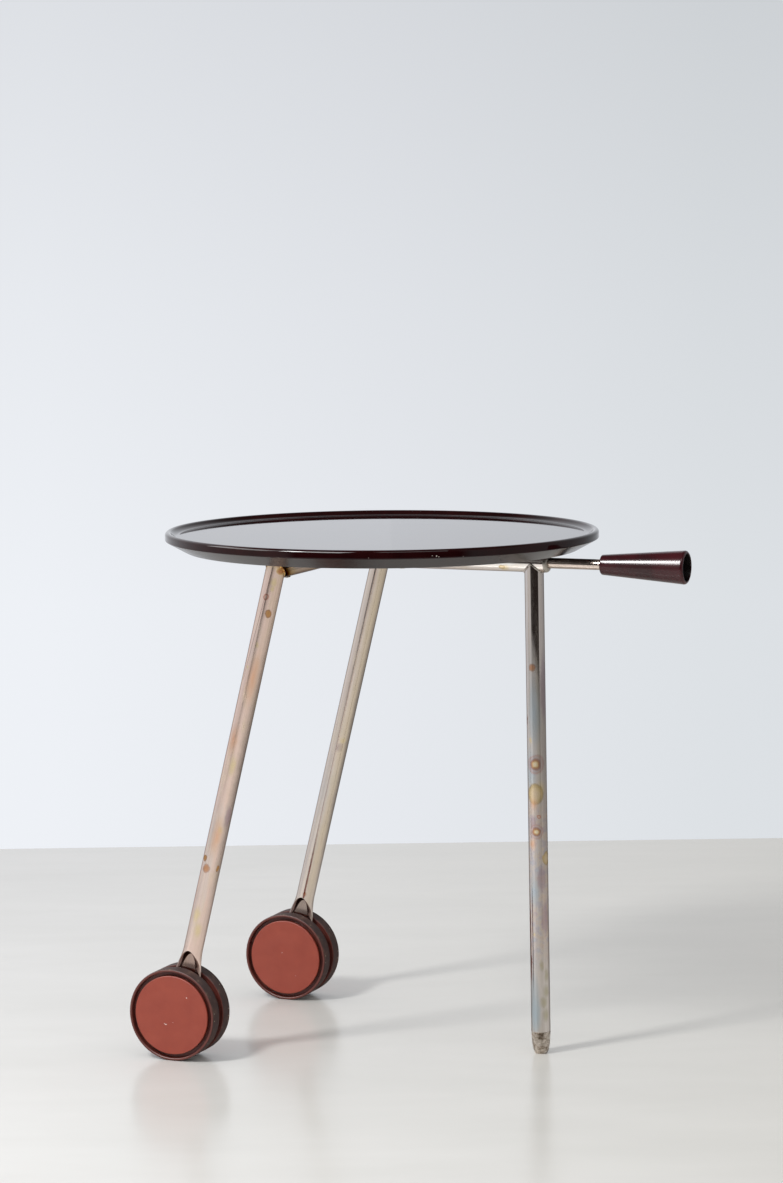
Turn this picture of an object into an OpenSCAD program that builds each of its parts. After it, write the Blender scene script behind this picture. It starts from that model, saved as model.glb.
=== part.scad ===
// Rolling side table: a round lacquered tray on a welded tube frame with one
// straight front leg, two raked rear legs on twin-disc wheels, and a grip handle.
// X runs towards the handle, Y across the rear legs, Z up from the floor.

/* [Tray] */
// Outer diameter of the tray
tray_d = 500; // [440:1:560]
// Height of the tray's rim above the floor
table_h = 600; // [540:1:660]
// Thickness of the tray from rim to underside
tray_h = 22; // [19:0.5:28]
// Height of the tray's upright outer wall
tray_wall_h = 9.5; // [6:0.5:12]
// Width of the bevel between the wall and the flat underside
tray_bevel_w = 23; // [10:1:50]
// Radius of the rolled rim
rim_r = 4; // [2.5:0.5:5]
// Depth of the well below the rim
well_depth = 5.5; // [3:0.5:8]
// Width of the cove from the rim's crest down to the well's floor
cove_w = 12; // [9:0.5:20]

/* [Frame tubes] */
// Outer diameter of all frame tubes
tube_d = 22; // [20:0.5:25]
// Wall thickness of the frame tubes
tube_wall = 1.5; // [1:0.25:2.5]
// Distance from the tray's axis back to the cross tube
cross_back = 63; // [40:1:90]
// Distance between the two rear legs
leg_track = 320; // [280:1:360]
// Rake of the rear legs from upright, in degrees
rear_rake = 13.9; // [8:0.1:18]
// Distance from the tray's front edge in to the front leg
front_inset = 64; // [50:1:100]
// Rake of the front leg from upright, in degrees
front_rake = 0.7; // [0:0.1:3]
// Length of the spine past the front leg's axis
spine_over = 14; // [13:1:18]

/* [Front foot] */
// Height of the tapered foot
foot_h = 26; // [15:1:40]
// Diameter of the foot where it meets the floor
foot_tip_d = 13.5; // [10:0.5:18]
// Length of the foot's spigot inside the leg
foot_spigot = 18; // [10:1:30]

/* [Handle] */
// Diameter of the handle's rod
rod_d = 12; // [10:0.5:14]
// Clear length of rod between the tray's edge and the grip
grip_gap = 17; // [12:1:40]
// Length of the grip
grip_l = 100; // [85:1:130]
// Diameter of the grip's small end
grip_small_d = 22.6; // [20:0.2:26]
// Diameter of the grip's wide end
grip_wide_d = 38.6; // [34:0.2:44]
// Wall of the grip round its hollow end
grip_wall = 3.4; // [2.5:0.1:5]
// Depth of the hollow in the grip's wide end
hollow_depth = 45; // [25:1:55]
// Thickness of the web that the nut clamps
grip_web = 12; // [6:1:18]
// Radius of the grip's rounded edges
grip_edge = 2; // [1:0.25:3]
// Length of the rod's bearing inside the spine
rod_hold = 72; // [50:1:120]
// Length of the end bush's rounded head
bush_head = 4.8; // [4.6:0.1:10]
// Radius of the end bush's edge
bush_edge = 4; // [1:0.25:4.5]
// Length of the end bush's spigot inside the spine
bush_spigot = 14; // [8:1:20]
// Length of the rod guide inside the spine
guide_l = 12; // [6:1:20]
// Distance from the rod's inner end to its guide
guide_inset = 4; // [0:1:15]

/* [Wheels] */
// Diameter of the wheel discs
wheel_d = 106; // [90:1:120]
// Width of one disc
disc_w = 17; // [15:0.5:22]
// Gap between the two discs of a pair
disc_gap = 11.2; // [10:0.2:16]
// Thickness of the disc's tread
tread_t = 3; // [2.5:0.25:5]
// Radius of the tread's edges
tread_edge = 1.2; // [0.5:0.1:1.25]
// Width of the ring-shaped groove round the cap
groove_w = 4.5; // [3:0.25:7]
// Depth of the groove
groove_depth = 7; // [4:0.5:8]
// How far the back of the rim lies inside the disc's inner face
rim_recess = 1.2; // [0.5:0.1:2]
// Width of the flat at the back of the rim
rim_flat = 3; // [2:0.25:5]
// Depth of the dished inner face
dish = 4; // [2:0.5:5]
// Thickness of the disc's web
web_t = 3; // [2:0.25:4]
// Outer diameter of the disc's hub
hub_d = 21; // [18:0.5:26]
// Number of ribs behind the cap
rib_count = 8; // [5:1:12]
// Thickness of a rib
rib_t = 2; // [1.5:0.1:3]

/* [Wheel caps] */
// Thickness of the cap
cap_t = 2.7; // [2:0.1:4]
// Radius of the cap's softened edge
cap_edge = 0.9; // [0.3:0.1:1]
// How far the cap stands over the collar that holds it
cap_over = 0.6; // [0.3:0.1:1.5]
// Wall of the collar
collar_t = 2.6; // [2:0.1:4]
// Wall of the cap's skirt, which snaps into the collar
skirt_t = 1.8; // [1.2:0.1:3]
// Length of the cap's skirt
skirt_l = 4; // [2:0.25:5]

/* [Axles] */
// Diameter of the axle
axle_d = 8; // [6:0.5:10]
// How far the axle stands out of its clips
axle_over = 0.6; // [0.4:0.1:1]
// Room between the axle's end and the cap
axle_room = 1; // [0.5:0.1:2]
// Outer diameter of the sleeve that carries the axle in the leg
sleeve_d = 15; // [13:0.5:18]
// Diameter of the clips that hold the discs
clip_d = 15; // [13:0.5:18]

/* [Pressed leg end] */
// Width of the flattened end in the wheel's plane
blade_w = 33; // [28:0.5:36]
// Thickness of the flattened end between its pressed faces
blade_t = 4; // [3:0.25:6]
// Height of the pressed arch's top above the wheel
arch_above = 23; // [15:1:40]
// Height of the arch's sloping shoulder
arch_slope = 7; // [4:0.5:12]
// Half width of the pressed face 1 mm below its top, from which the arch spreads
arch_spread = 2.4; // [1.8:0.1:3]
// How much wider the arch spreads at the tube's surface
arch_flare = 0.4; // [0.2:0.1:0.8]
// Length over which the tube spreads to the flattened width
spread_l = 34; // [20:1:60]
// Length over which the tube's sides draw in to fit between the discs
draw_in_l = 20; // [15:1:22]
// Height of the bore's closed end above the arch
bore_above = 8; // [5:1:20]

/* [Fasteners] */
// Diameter of the tray screws
screw_d = 5; // [4:0.5:6]
// Head diameter of the tray screws
screw_head_d = 9.6; // [8:0.2:12]
// Height of the dome on the screw heads
screw_dome_h = 1.4; // [0.8:0.1:2]
// Distance between the two screws in the cross tube
screw_track = 260; // [200:1:270]
// Distance from the tray's axis to the screw in the spine
spine_screw_x = 25; // [-20:1:100]
// Outer diameter of the threaded inserts
insert_d = 8.5; // [7:0.5:10]
// Depth of the threaded inserts
insert_h = 12; // [8:0.5:12.5]
// How far the screws end short of the inserts' tops
screw_short = 1; // [0.5:0.5:3]
// Thread diameter at the rod's grip end
stud_d = 8; // [6:1:9]
// How far the stud stands out of its nut
stud_over = 3; // [1:0.5:5]
// Width across flats of the grip nut
nut_af = 13; // [11:1:15]
// Diameter of the grip washer
washer_d = 17; // [16:0.5:19]
// Thickness of the grip washer and of the axle clips
sheet_t = 1.4; // [1:0.1:2]

/* [Clearances] */
// Gap at joints that are brazed, pressed or seated
seat_gap = 0.05; // [0.02:0.01:0.1]
// Radial clearance of the discs on their axles
run_gap = 0.06; // [0.02:0.01:0.1]
// Gap between faces that turn past each other
face_gap = 0.3; // [0.2:0.05:0.6]
// Gap between the flared leg ends and the discs
leg_room = 0.75; // [0.5:0.05:1.5]
// Radial gap round the screws and their heads
screw_gap = 0.3; // [0.1:0.05:0.5]

/* [Hidden] */
$fn = 96;

// How far a cutting shape runs past what it cuts
past = 1;
// How far two shapes of one piece run into each other
bite = 0.5;
// A sliver that keeps two surfaces from lying in one another
skin = 0.02;

// Tray
tray_r = tray_d / 2;
tray_z = table_h - tray_h;
crest_r = tray_r - rim_r;
floor_r = crest_r - cove_w;
base_r = tray_r - tray_bevel_w;
// The cove's arc meets the rim's arc and the well's floor without a step
cove_r = (pow(cove_w, 2) + pow(well_depth, 2)) / (2 * well_depth) - rim_r;
cove_angle = 2 * atan(well_depth / cove_w);

// Frame
tube_r = tube_d / 2;
bore_r = tube_r - tube_wall;
frame_z = tray_z - seat_gap - tube_r;
front_x = tray_r - front_inset;
spine_end = front_x + spine_over;
front_leg_l = frame_z / cos(front_rake);

// Wheels, axles and rear legs
wheel_r = wheel_d / 2;
axle_r = axle_d / 2;
sleeve_r = sleeve_d / 2;
hub_r = hub_d / 2;
hub_l = disc_w - cap_t - axle_room - axle_over - sheet_t - face_gap;
axle_l = disc_gap + 2 * (hub_l + face_gap + sheet_t + axle_over);
groove_r = wheel_r - tread_t;
cap_r = groove_r - groove_w;
collar_r = cap_r - cap_over;
collar_in = collar_r - collar_t;
axle_x = -cross_back - (frame_z - wheel_r) * tan(rear_rake);
rear_leg_l = (frame_z - wheel_r) / cos(rear_rake);

// Pressed leg end, measured up the leg from the axle
blade_r = blade_w / 2;
bulge_r = disc_gap / 2 - leg_room;
arch_top = wheel_r + arch_above;
press_top = arch_top + 1;
tube_low = arch_top + 1.5;
loft_top = arch_top + 5;
loft_low = wheel_r - 10;
loft_rings = 14;
loft_sides = 40;
arch_steps = 12;

// Handle
grip_x = tray_r + grip_gap;
grip_end = grip_x + grip_l;
hollow_x = grip_end - hollow_depth;
socket_x = hollow_x - grip_web;
grip_slope = (grip_wide_d - grip_small_d) / 2 / grip_l;
nut_h = 0.8 * stud_d;
rod_back = spine_end + bush_head - rod_hold;

// The origin lies below the middle of the whole table
back_end = max(tray_r, wheel_r - axle_x);
centre_x = (grip_end - back_end) / 2;

// Colours
lacquer = "#3b1418";
nickel = "#b9aca2";
plastic_dark = "#5c2c26";
plastic_cap = "#9a4d40";
steel = "#8d8a88";
brass = "#b08d4a";
raw_metal = "#7d736b";

// Places the table so that its origin is below its middle
module standing() {
    translate([-centre_x, 0, 0]) children();
}

// A cylinder along X from x0 to x1
module bar_x(r, x0, x1) {
    translate([x0, 0, 0]) rotate([0, 90, 0]) cylinder(r = r, h = x1 - x0);
}

// A cylinder along Y, l long, centred
module bar_y(r, l) {
    rotate([90, 0, 0]) cylinder(r = r, h = l, center = true);
}

// A ring along Z
module ring(outer_r, inner_r, h) {
    difference() {
        cylinder(r = outer_r, h = h);
        translate([0, 0, -past]) cylinder(r = inner_r, h = h + 2 * past);
    }
}

// A profile rectangle with four rounded corners
module soft_bar(x0, x1, y0, y1, r) {
    for (x = [x0 + r, x1 - r], y = [y0 + r, y1 - r]) translate([x, y]) circle(r = r);
    translate([x0 + r, y0]) square([x1 - x0 - 2 * r, y1 - y0]);
    translate([x0, y0 + r]) square([x1 - x0, y1 - y0 - 2 * r]);
}

// A profile rectangle from the axis to x1 with its upper outer corner rounded
module soft_disc(x1, y0, y1, r) {
    translate([0, y0]) square([x1 - r, y1 - y0]);
    translate([0, y0]) square([x1, y1 - y0 - r]);
    translate([x1 - r, y1 - r]) intersection() {
        circle(r = r);
        square(r);
    }
}

// Top of the rear leg at the left, with Z along the leg
module at_leg_top() {
    translate([-cross_back, -leg_track / 2, frame_z]) rotate([0, rear_rake, 0]) children();
}

// Axle end of the rear leg at the left, with Z up the leg
module at_leg_foot() {
    translate([axle_x, -leg_track / 2, wheel_r]) rotate([0, rear_rake, 0]) children();
}

// Top of the front leg, with Z along the leg
module at_front_leg() {
    translate([front_x, 0, frame_z]) rotate([0, -front_rake, 0]) children();
}

// The spine's axis at a distance x from the tray's axis, with Z along the spine
module on_spine(x) {
    translate([x, 0, frame_z]) rotate([0, 90, 0]) children();
}

// Middle of an axle: side is -1 for the left leg and 1 for the right one
module at_axle(side) {
    translate([axle_x, side * leg_track / 2, wheel_r]) children();
}

// Inner face of a disc with Z pointing out of its cap, which faces -Y or +Y
module at_disc(side, facing) {
    at_axle(side) rotate([-90 * facing, 0, 0]) translate([0, 0, disc_gap / 2]) children();
}

// The three places where the tray is screwed down
module at_screws() {
    for (y = [-screw_track / 2, screw_track / 2]) translate([-cross_back, y, 0]) children();
    translate([spine_screw_x, 0, 0]) children();
}

// Half of space beyond the mitre between leg and cross tube: 1 cuts the leg, -1 the cross tube
module mitre_cut(keep) {
    size = 4 * tube_d;
    low = keep > 0 ? -seat_gap / 2 : seat_gap / 2 - size;
    at_leg_top() rotate([-45, 0, 0]) translate([-size / 2, -size / 2, low]) cube(size);
}

// Cone of a countersunk head, widened by gap
module screw_cone(gap) {
    cylinder(r1 = screw_head_d / 2 + gap, r2 = screw_d / 2 + gap, h = (screw_head_d - screw_d) / 2);
}

// Holes for the tray screws through a tube, countersunk from below
module screw_holes() {
    at_screws() {
        cylinder(r = screw_d / 2 + screw_gap, h = table_h);
        translate([0, 0, frame_z - tube_r - skin]) screw_cone(screw_gap);
    }
}

// Tray: a turned dish with a rolled rim, an upright wall and a bevelled underside
module tray() {
    join_x = crest_r - rim_r * sin(cove_angle);
    join_y = tray_h - rim_r * (1 - cos(cove_angle));
    floor_y = tray_h - well_depth;
    color(lacquer) standing() translate([0, 0, tray_z]) difference() {
        rotate_extrude($fn = 180) difference() {
            union() {
                polygon([
                    [0, 0], [base_r, 0], [tray_r, tray_h - tray_wall_h], [tray_r, tray_h - rim_r],
                    [crest_r, tray_h - rim_r], [join_x, join_y], [floor_r, floor_y], [0, floor_y]
                ]);
                translate([crest_r, tray_h - rim_r]) circle(r = rim_r);
            }
            translate([floor_r, floor_y + cove_r]) circle(r = cove_r, $fn = 180);
        }
        at_screws() translate([0, 0, -past])
            cylinder(r = insert_d / 2 + seat_gap, h = insert_h + past + seat_gap);
    }
}

module tray_inserts() {
    color(brass) standing() translate([0, 0, tray_z]) at_screws()
        ring(insert_d / 2, screw_d / 2 + seat_gap, insert_h);
}

// Raised countersunk screws: a cone with a low dome below it
module tray_screws() {
    head_r = screw_head_d / 2;
    dome_r = (pow(head_r, 2) + pow(screw_dome_h, 2)) / (2 * screw_dome_h);
    color(steel) standing() at_screws() translate([0, 0, frame_z - tube_r]) {
        screw_cone(0);
        cylinder(d = screw_d, h = tube_d + seat_gap + insert_h - screw_short);
        intersection() {
            translate([0, 0, dome_r - screw_dome_h]) sphere(r = dome_r);
            translate([0, 0, -screw_dome_h]) cylinder(r = head_r, h = screw_dome_h);
        }
    }
}

module spine_tube() {
    color(nickel) standing() difference() {
        translate([0, 0, frame_z]) bar_x(tube_r, -cross_back, spine_end);
        translate([0, 0, frame_z]) bar_x(bore_r, -cross_back - past, spine_end + past);
        translate([-cross_back, 0, frame_z]) bar_y(tube_r + seat_gap, leg_track);
        screw_holes();
    }
}

module cross_tube() {
    uncut_l = leg_track + 2 * tube_d;
    color(nickel) standing() difference() {
        translate([-cross_back, 0, frame_z]) bar_y(tube_r, uncut_l);
        translate([-cross_back, 0, frame_z]) bar_y(bore_r, uncut_l + past);
        for (flip = [0, 1]) mirror([0, flip, 0]) mitre_cut(-1);
        screw_holes();
    }
}

// How far a pressed shape has gone at t, eased from 0 to 1
function eased(t) = t <= 0 ? 0 : t >= 1 ? 1 : t * t * (3 - 2 * t);

// Half width and half thickness of the leg end at height s above the axle
function leg_half_w(s) = tube_r + (blade_r - tube_r) * eased((press_top - s) / spread_l);
function leg_half_t(s) = tube_r + (bulge_r - tube_r) * eased((press_top - s) / draw_in_l);

// Tube end that widens in the wheel's plane and draws in across it
module leg_end_loft() {
    heights = [
        -blade_r - past,
        for (i = [0 : loft_rings]) loft_low + (loft_top - loft_low) * i / loft_rings
    ];
    rings = len(heights);
    points = [
        for (s = heights, k = [0 : loft_sides - 1])
            let (a = 360 * k / loft_sides)
            [(leg_half_w(s) - skin) * cos(a), (leg_half_t(s) - skin) * sin(a), s]
    ];
    side_faces = [
        for (i = [0 : rings - 2], k = [0 : loft_sides - 1])
            let (n = (k + 1) % loft_sides, low = i * loft_sides, high = low + loft_sides)
            each [[low + k, high + k, high + n], [low + k, high + n, low + n]]
    ];
    bottom = [for (k = [0 : loft_sides - 1]) k];
    top = [for (k = [loft_sides - 1 : -1 : 0]) (rings - 1) * loft_sides + k];
    polyhedron(points = points, faces = concat(side_faces, [bottom, top]), convexity = 4);
}

// Arch-shaped sheet in the plane y, open downwards, with its top at top_s
module arch_sheet(y, top_s, spread) {
    depth = top_s + blade_r + 4 * past;
    translate([0, y, 0]) rotate([90, 0, 0]) linear_extrude(skin) polygon([
        for (i = [-arch_steps : arch_steps])
            let (t = i / arch_steps)
            [spread * sqrt(depth) * t, top_s - depth * t * t]
    ]);
}

// Tool that presses one face of the leg end flat, with a sloping arched shoulder
module press_tool() {
    hull() {
        arch_sheet(-blade_t / 2, arch_top - arch_slope, arch_spread);
        arch_sheet(-tube_r - past, arch_top, arch_spread + arch_flare);
    }
}

// Rear leg: a straight tube, mitred at the top and pressed flat at the wheel
module rear_leg() {
    difference() {
        at_leg_foot() {
            translate([0, 0, tube_low]) cylinder(r = tube_r, h = rear_leg_l - tube_low + tube_d);
            intersection() {
                leg_end_loft();
                union() {
                    bar_y(blade_r, tube_d);
                    translate([-blade_w, -tube_d, 0]) cube([2 * blade_w, 2 * tube_d, loft_top]);
                }
            }
        }
        at_leg_foot() {
            translate([0, 0, arch_top + bore_above]) cylinder(r = bore_r, h = rear_leg_l);
            for (flip = [0, 1]) mirror([0, flip, 0]) press_tool();
            bar_y(sleeve_r + seat_gap, tube_d);
        }
        mitre_cut(1);
    }
}

module rear_leg_left() {
    color(nickel) standing() rear_leg();
}

module rear_leg_right() {
    color(nickel) standing() mirror([0, 1, 0]) rear_leg();
}

module front_leg() {
    color(nickel) standing() difference() {
        at_front_leg() translate([0, 0, foot_h - front_leg_l])
            ring(tube_r, bore_r, front_leg_l - foot_h);
        translate([0, 0, frame_z]) bar_x(tube_r + seat_gap, front_x - tube_d, front_x + tube_d);
    }
}

// Front foot: a blunt tapered tip with a spigot inside the leg, cut level with the floor
module front_foot() {
    color(raw_metal) standing() intersection() {
        at_front_leg() translate([0, 0, -front_leg_l]) {
            translate([0, 0, -past]) cylinder(d = foot_tip_d, h = foot_h);
            cylinder(d1 = foot_tip_d, d2 = tube_d, h = foot_h - seat_gap);
            cylinder(r = bore_r - seat_gap, h = foot_h + foot_spigot);
        }
        translate([front_x - tray_r, -tray_r, 0]) cube([2 * tray_r, 2 * tray_r, table_h]);
    }
}

// Rounded bush that closes the spine's front end and guides the rod
module spine_end_bush() {
    color(steel) standing() on_spine(spine_end) difference() {
        union() {
            rotate_extrude() soft_disc(tube_r, seat_gap, bush_head, bush_edge);
            translate([0, 0, -bush_spigot]) cylinder(r = bore_r - seat_gap, h = bush_spigot + bite);
        }
        translate([0, 0, -bush_spigot - past])
            cylinder(r = rod_d / 2 + seat_gap, h = bush_spigot + bush_head + 2 * past);
    }
}

module rod_guide() {
    color(steel) standing() on_spine(rod_back + guide_inset)
        ring(bore_r - seat_gap, rod_d / 2 + seat_gap, guide_l);
}

// Handle rod with a threaded stud that passes through the grip's web
module handle_rod() {
    color(nickel) standing() translate([0, 0, frame_z]) {
        bar_x(rod_d / 2, rod_back, socket_x - seat_gap);
        bar_x(stud_d / 2, socket_x - past, hollow_x + sheet_t + nut_h + stud_over);
    }
}

// Outer radius of the grip at a distance from its small end
function grip_r(x) = grip_small_d / 2 + grip_slope * x;

// Half outline of the grip, from its small end along Y
module grip_profile() {
    low_x = grip_r(grip_edge) - grip_edge;
    high_x = grip_r(grip_l - grip_edge) - grip_edge;
    high_y = grip_l - grip_edge;
    intersection() {
        union() {
            polygon([
                [0, grip_edge], [low_x + grip_edge, grip_edge], [high_x + grip_edge, high_y], [0, high_y]
            ]);
            square([low_x, 2 * grip_edge]);
            translate([0, high_y]) square([high_x, grip_edge]);
            translate([low_x, grip_edge]) circle(r = grip_edge);
            translate([high_x, high_y]) circle(r = grip_edge);
        }
        square([grip_wide_d, grip_l]);
    }
}

// Grip: a turned cone with rounded ends, a rod socket and a hollow wide end
module handle_grip() {
    hollow_r = grip_r(grip_l) - grip_wall;
    color(lacquer) standing() on_spine(grip_x) difference() {
        rotate_extrude() grip_profile();
        translate([0, 0, -past]) cylinder(r = rod_d / 2 + seat_gap, h = socket_x - grip_x + past);
        cylinder(r = stud_d / 2 + 2 * seat_gap, h = grip_l);
        translate([0, 0, grip_l - hollow_depth])
            cylinder(r1 = hollow_r - grip_slope * hollow_depth, r2 = hollow_r, h = hollow_depth);
        translate([0, 0, grip_l - past]) cylinder(r = hollow_r, h = 2 * past);
    }
}

module grip_washer() {
    color(steel) standing() on_spine(hollow_x + seat_gap)
        ring(washer_d / 2, stud_d / 2 + 2 * seat_gap, sheet_t);
}

module grip_nut() {
    color(steel) standing() on_spine(hollow_x + sheet_t + 2 * seat_gap) difference() {
        cylinder(d = nut_af / cos(30), h = nut_h, $fn = 6);
        translate([0, 0, -past]) cylinder(r = stud_d / 2 + seat_gap, h = nut_h + 2 * past);
    }
}

module axle(side) {
    color(steel) standing() at_axle(side) bar_y(axle_r, axle_l);
}

module axle_left() {
    axle(-1);
}

module axle_right() {
    axle(1);
}

// Sleeve through the flattened leg end, which the discs' hubs run against
module axle_sleeve(side) {
    length = disc_gap - 2 * face_gap;
    color(steel) standing() at_axle(side) difference() {
        bar_y(sleeve_r, length);
        bar_y(axle_r + seat_gap, length + past);
    }
}

module axle_sleeve_left() {
    axle_sleeve(-1);
}

module axle_sleeve_right() {
    axle_sleeve(1);
}

// One moulded disc: hub, dished web, ribs, collar for the cap, groove and tread
module wheel_disc() {
    web_top = dish + web_t;
    collar_top = disc_w - cap_t - seat_gap;
    groove_floor = disc_w - groove_depth;
    rib_top = disc_w - cap_t - skirt_l - face_gap;
    difference() {
        union() {
            rotate_extrude($fn = 144) {
                soft_bar(groove_r, wheel_r, 0, disc_w, tread_edge);
                square([hub_r, hub_l]);
                translate([0, dish]) square([groove_r, web_t]);
                polygon([
                    [collar_in, dish], [groove_r - rim_flat, rim_recess], [groove_r + bite, rim_recess],
                    [groove_r + bite, groove_floor], [collar_in, groove_floor]
                ]);
                translate([collar_in, dish]) square([collar_t, collar_top - dish]);
            }
            for (i = [0 : rib_count - 1]) rotate([0, 0, i * 360 / rib_count])
                translate([hub_r - bite, -rib_t / 2, web_top - bite])
                    cube([collar_in - hub_r + 2 * bite, rib_t, rib_top - web_top + bite]);
        }
        translate([0, 0, -past]) cylinder(r = axle_r + run_gap, h = hub_l + 2 * past);
    }
}

// Flat cap that fills the disc's face, with a skirt that snaps into the collar
module wheel_cap() {
    skirt_r = collar_in - seat_gap;
    rotate_extrude($fn = 144) {
        soft_disc(cap_r, disc_w - cap_t, disc_w, cap_edge);
        translate([skirt_r - skirt_t, disc_w - cap_t - skirt_l]) square([skirt_t, skirt_l + bite]);
    }
}

module wheel(side, facing) {
    color(plastic_dark) standing() at_disc(side, facing) wheel_disc();
}

module cap(side, facing) {
    color(plastic_cap) standing() at_disc(side, facing) wheel_cap();
}

module wheel_left_outer() {
    wheel(-1, -1);
}

module wheel_left_inner() {
    wheel(-1, 1);
}

module wheel_right_inner() {
    wheel(1, -1);
}

module wheel_right_outer() {
    wheel(1, 1);
}

module cap_left_outer() {
    cap(-1, -1);
}

module cap_left_inner() {
    cap(-1, 1);
}

module cap_right_inner() {
    cap(1, -1);
}

module cap_right_outer() {
    cap(1, 1);
}

// Push-on clips at both ends of an axle
module axle_clips(side) {
    color(steel) standing() for (facing = [-1, 1]) at_disc(side, facing)
        translate([0, 0, hub_l + face_gap]) ring(clip_d / 2, axle_r + seat_gap, sheet_t);
}

module axle_clips_left() {
    axle_clips(-1);
}

module axle_clips_right() {
    axle_clips(1);
}

tray();
tray_inserts();
tray_screws();
spine_tube();
cross_tube();
rear_leg_left();
rear_leg_right();
front_leg();
front_foot();
spine_end_bush();
rod_guide();
handle_rod();
handle_grip();
grip_washer();
grip_nut();
axle_left();
axle_right();
axle_sleeve_left();
axle_sleeve_right();
wheel_left_outer();
wheel_left_inner();
wheel_right_inner();
wheel_right_outer();
cap_left_outer();
cap_left_inner();
cap_right_inner();
cap_right_outer();
axle_clips_left();
axle_clips_right();
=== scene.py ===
"""Looks of a rolling side table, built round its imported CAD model.

The turned, drawn and pressed pieces are made again with smooth surfaces, each piece gets the finish of the
real one, and a pale studio stands round them. X runs towards the handle, Y across the rear legs, Z up from
the floor. Sizes are in millimetres until they reach a mesh.
"""

import logging
import math
from dataclasses import dataclass
from enum import Enum
from itertools import product
from typing import Any, Callable, Sequence

import bmesh
import bpy
import numpy as np
from mathutils import Euler, Matrix, Vector


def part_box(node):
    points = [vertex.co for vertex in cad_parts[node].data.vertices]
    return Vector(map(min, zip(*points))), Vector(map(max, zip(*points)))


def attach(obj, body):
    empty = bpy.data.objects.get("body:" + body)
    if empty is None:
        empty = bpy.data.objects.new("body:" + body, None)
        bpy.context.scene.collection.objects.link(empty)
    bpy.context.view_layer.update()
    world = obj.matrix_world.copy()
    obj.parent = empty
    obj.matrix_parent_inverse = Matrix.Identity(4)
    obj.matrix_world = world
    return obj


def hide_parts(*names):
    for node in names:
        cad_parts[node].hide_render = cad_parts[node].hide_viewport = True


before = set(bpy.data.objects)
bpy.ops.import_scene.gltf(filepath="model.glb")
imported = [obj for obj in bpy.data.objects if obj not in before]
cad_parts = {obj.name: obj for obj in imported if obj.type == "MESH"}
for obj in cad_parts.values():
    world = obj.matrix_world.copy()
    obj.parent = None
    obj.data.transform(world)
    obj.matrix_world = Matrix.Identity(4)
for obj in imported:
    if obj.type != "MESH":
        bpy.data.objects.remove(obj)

MM = 0.001
# Points closer than this are one, in m
WELD = 1e-6
# Room round a piece that is seated in another, in mm
SEAT_GAP = 0.05
# Inputs of a Mix node that take its two colours
UNDER, OVER = 6, 7
log = logging.getLogger("side_table")

Tree = bpy.types.NodeTree
Node = bpy.types.Node
Socket = bpy.types.NodeSocket
Material = bpy.types.Material
Thing = bpy.types.Object
Spot = tuple[float, float, float]
# An outline's corner: radius, height and rounding
Corner = tuple[float, float, float]
Points = list[tuple[float, float]]
# A chip's place and radius
Chip = tuple[float, float, float, float]
# What covers a colour, and the colour that it brings
Layer = tuple[Any, Any]


class Slot(str, Enum):
    """Names of the record's material slots, one for each kind of finish."""

    WOOD = "lacquered_wood"
    GRIP = "lacquered_grip"
    TUBE = "plated_tube"
    ROD = "plated_rod"
    STEEL = "bright_steel"
    BRASS = "brass"
    TIP = "worn_tip"
    DISC = "wheel_plastic"
    CAP = "cap_plastic"


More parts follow.
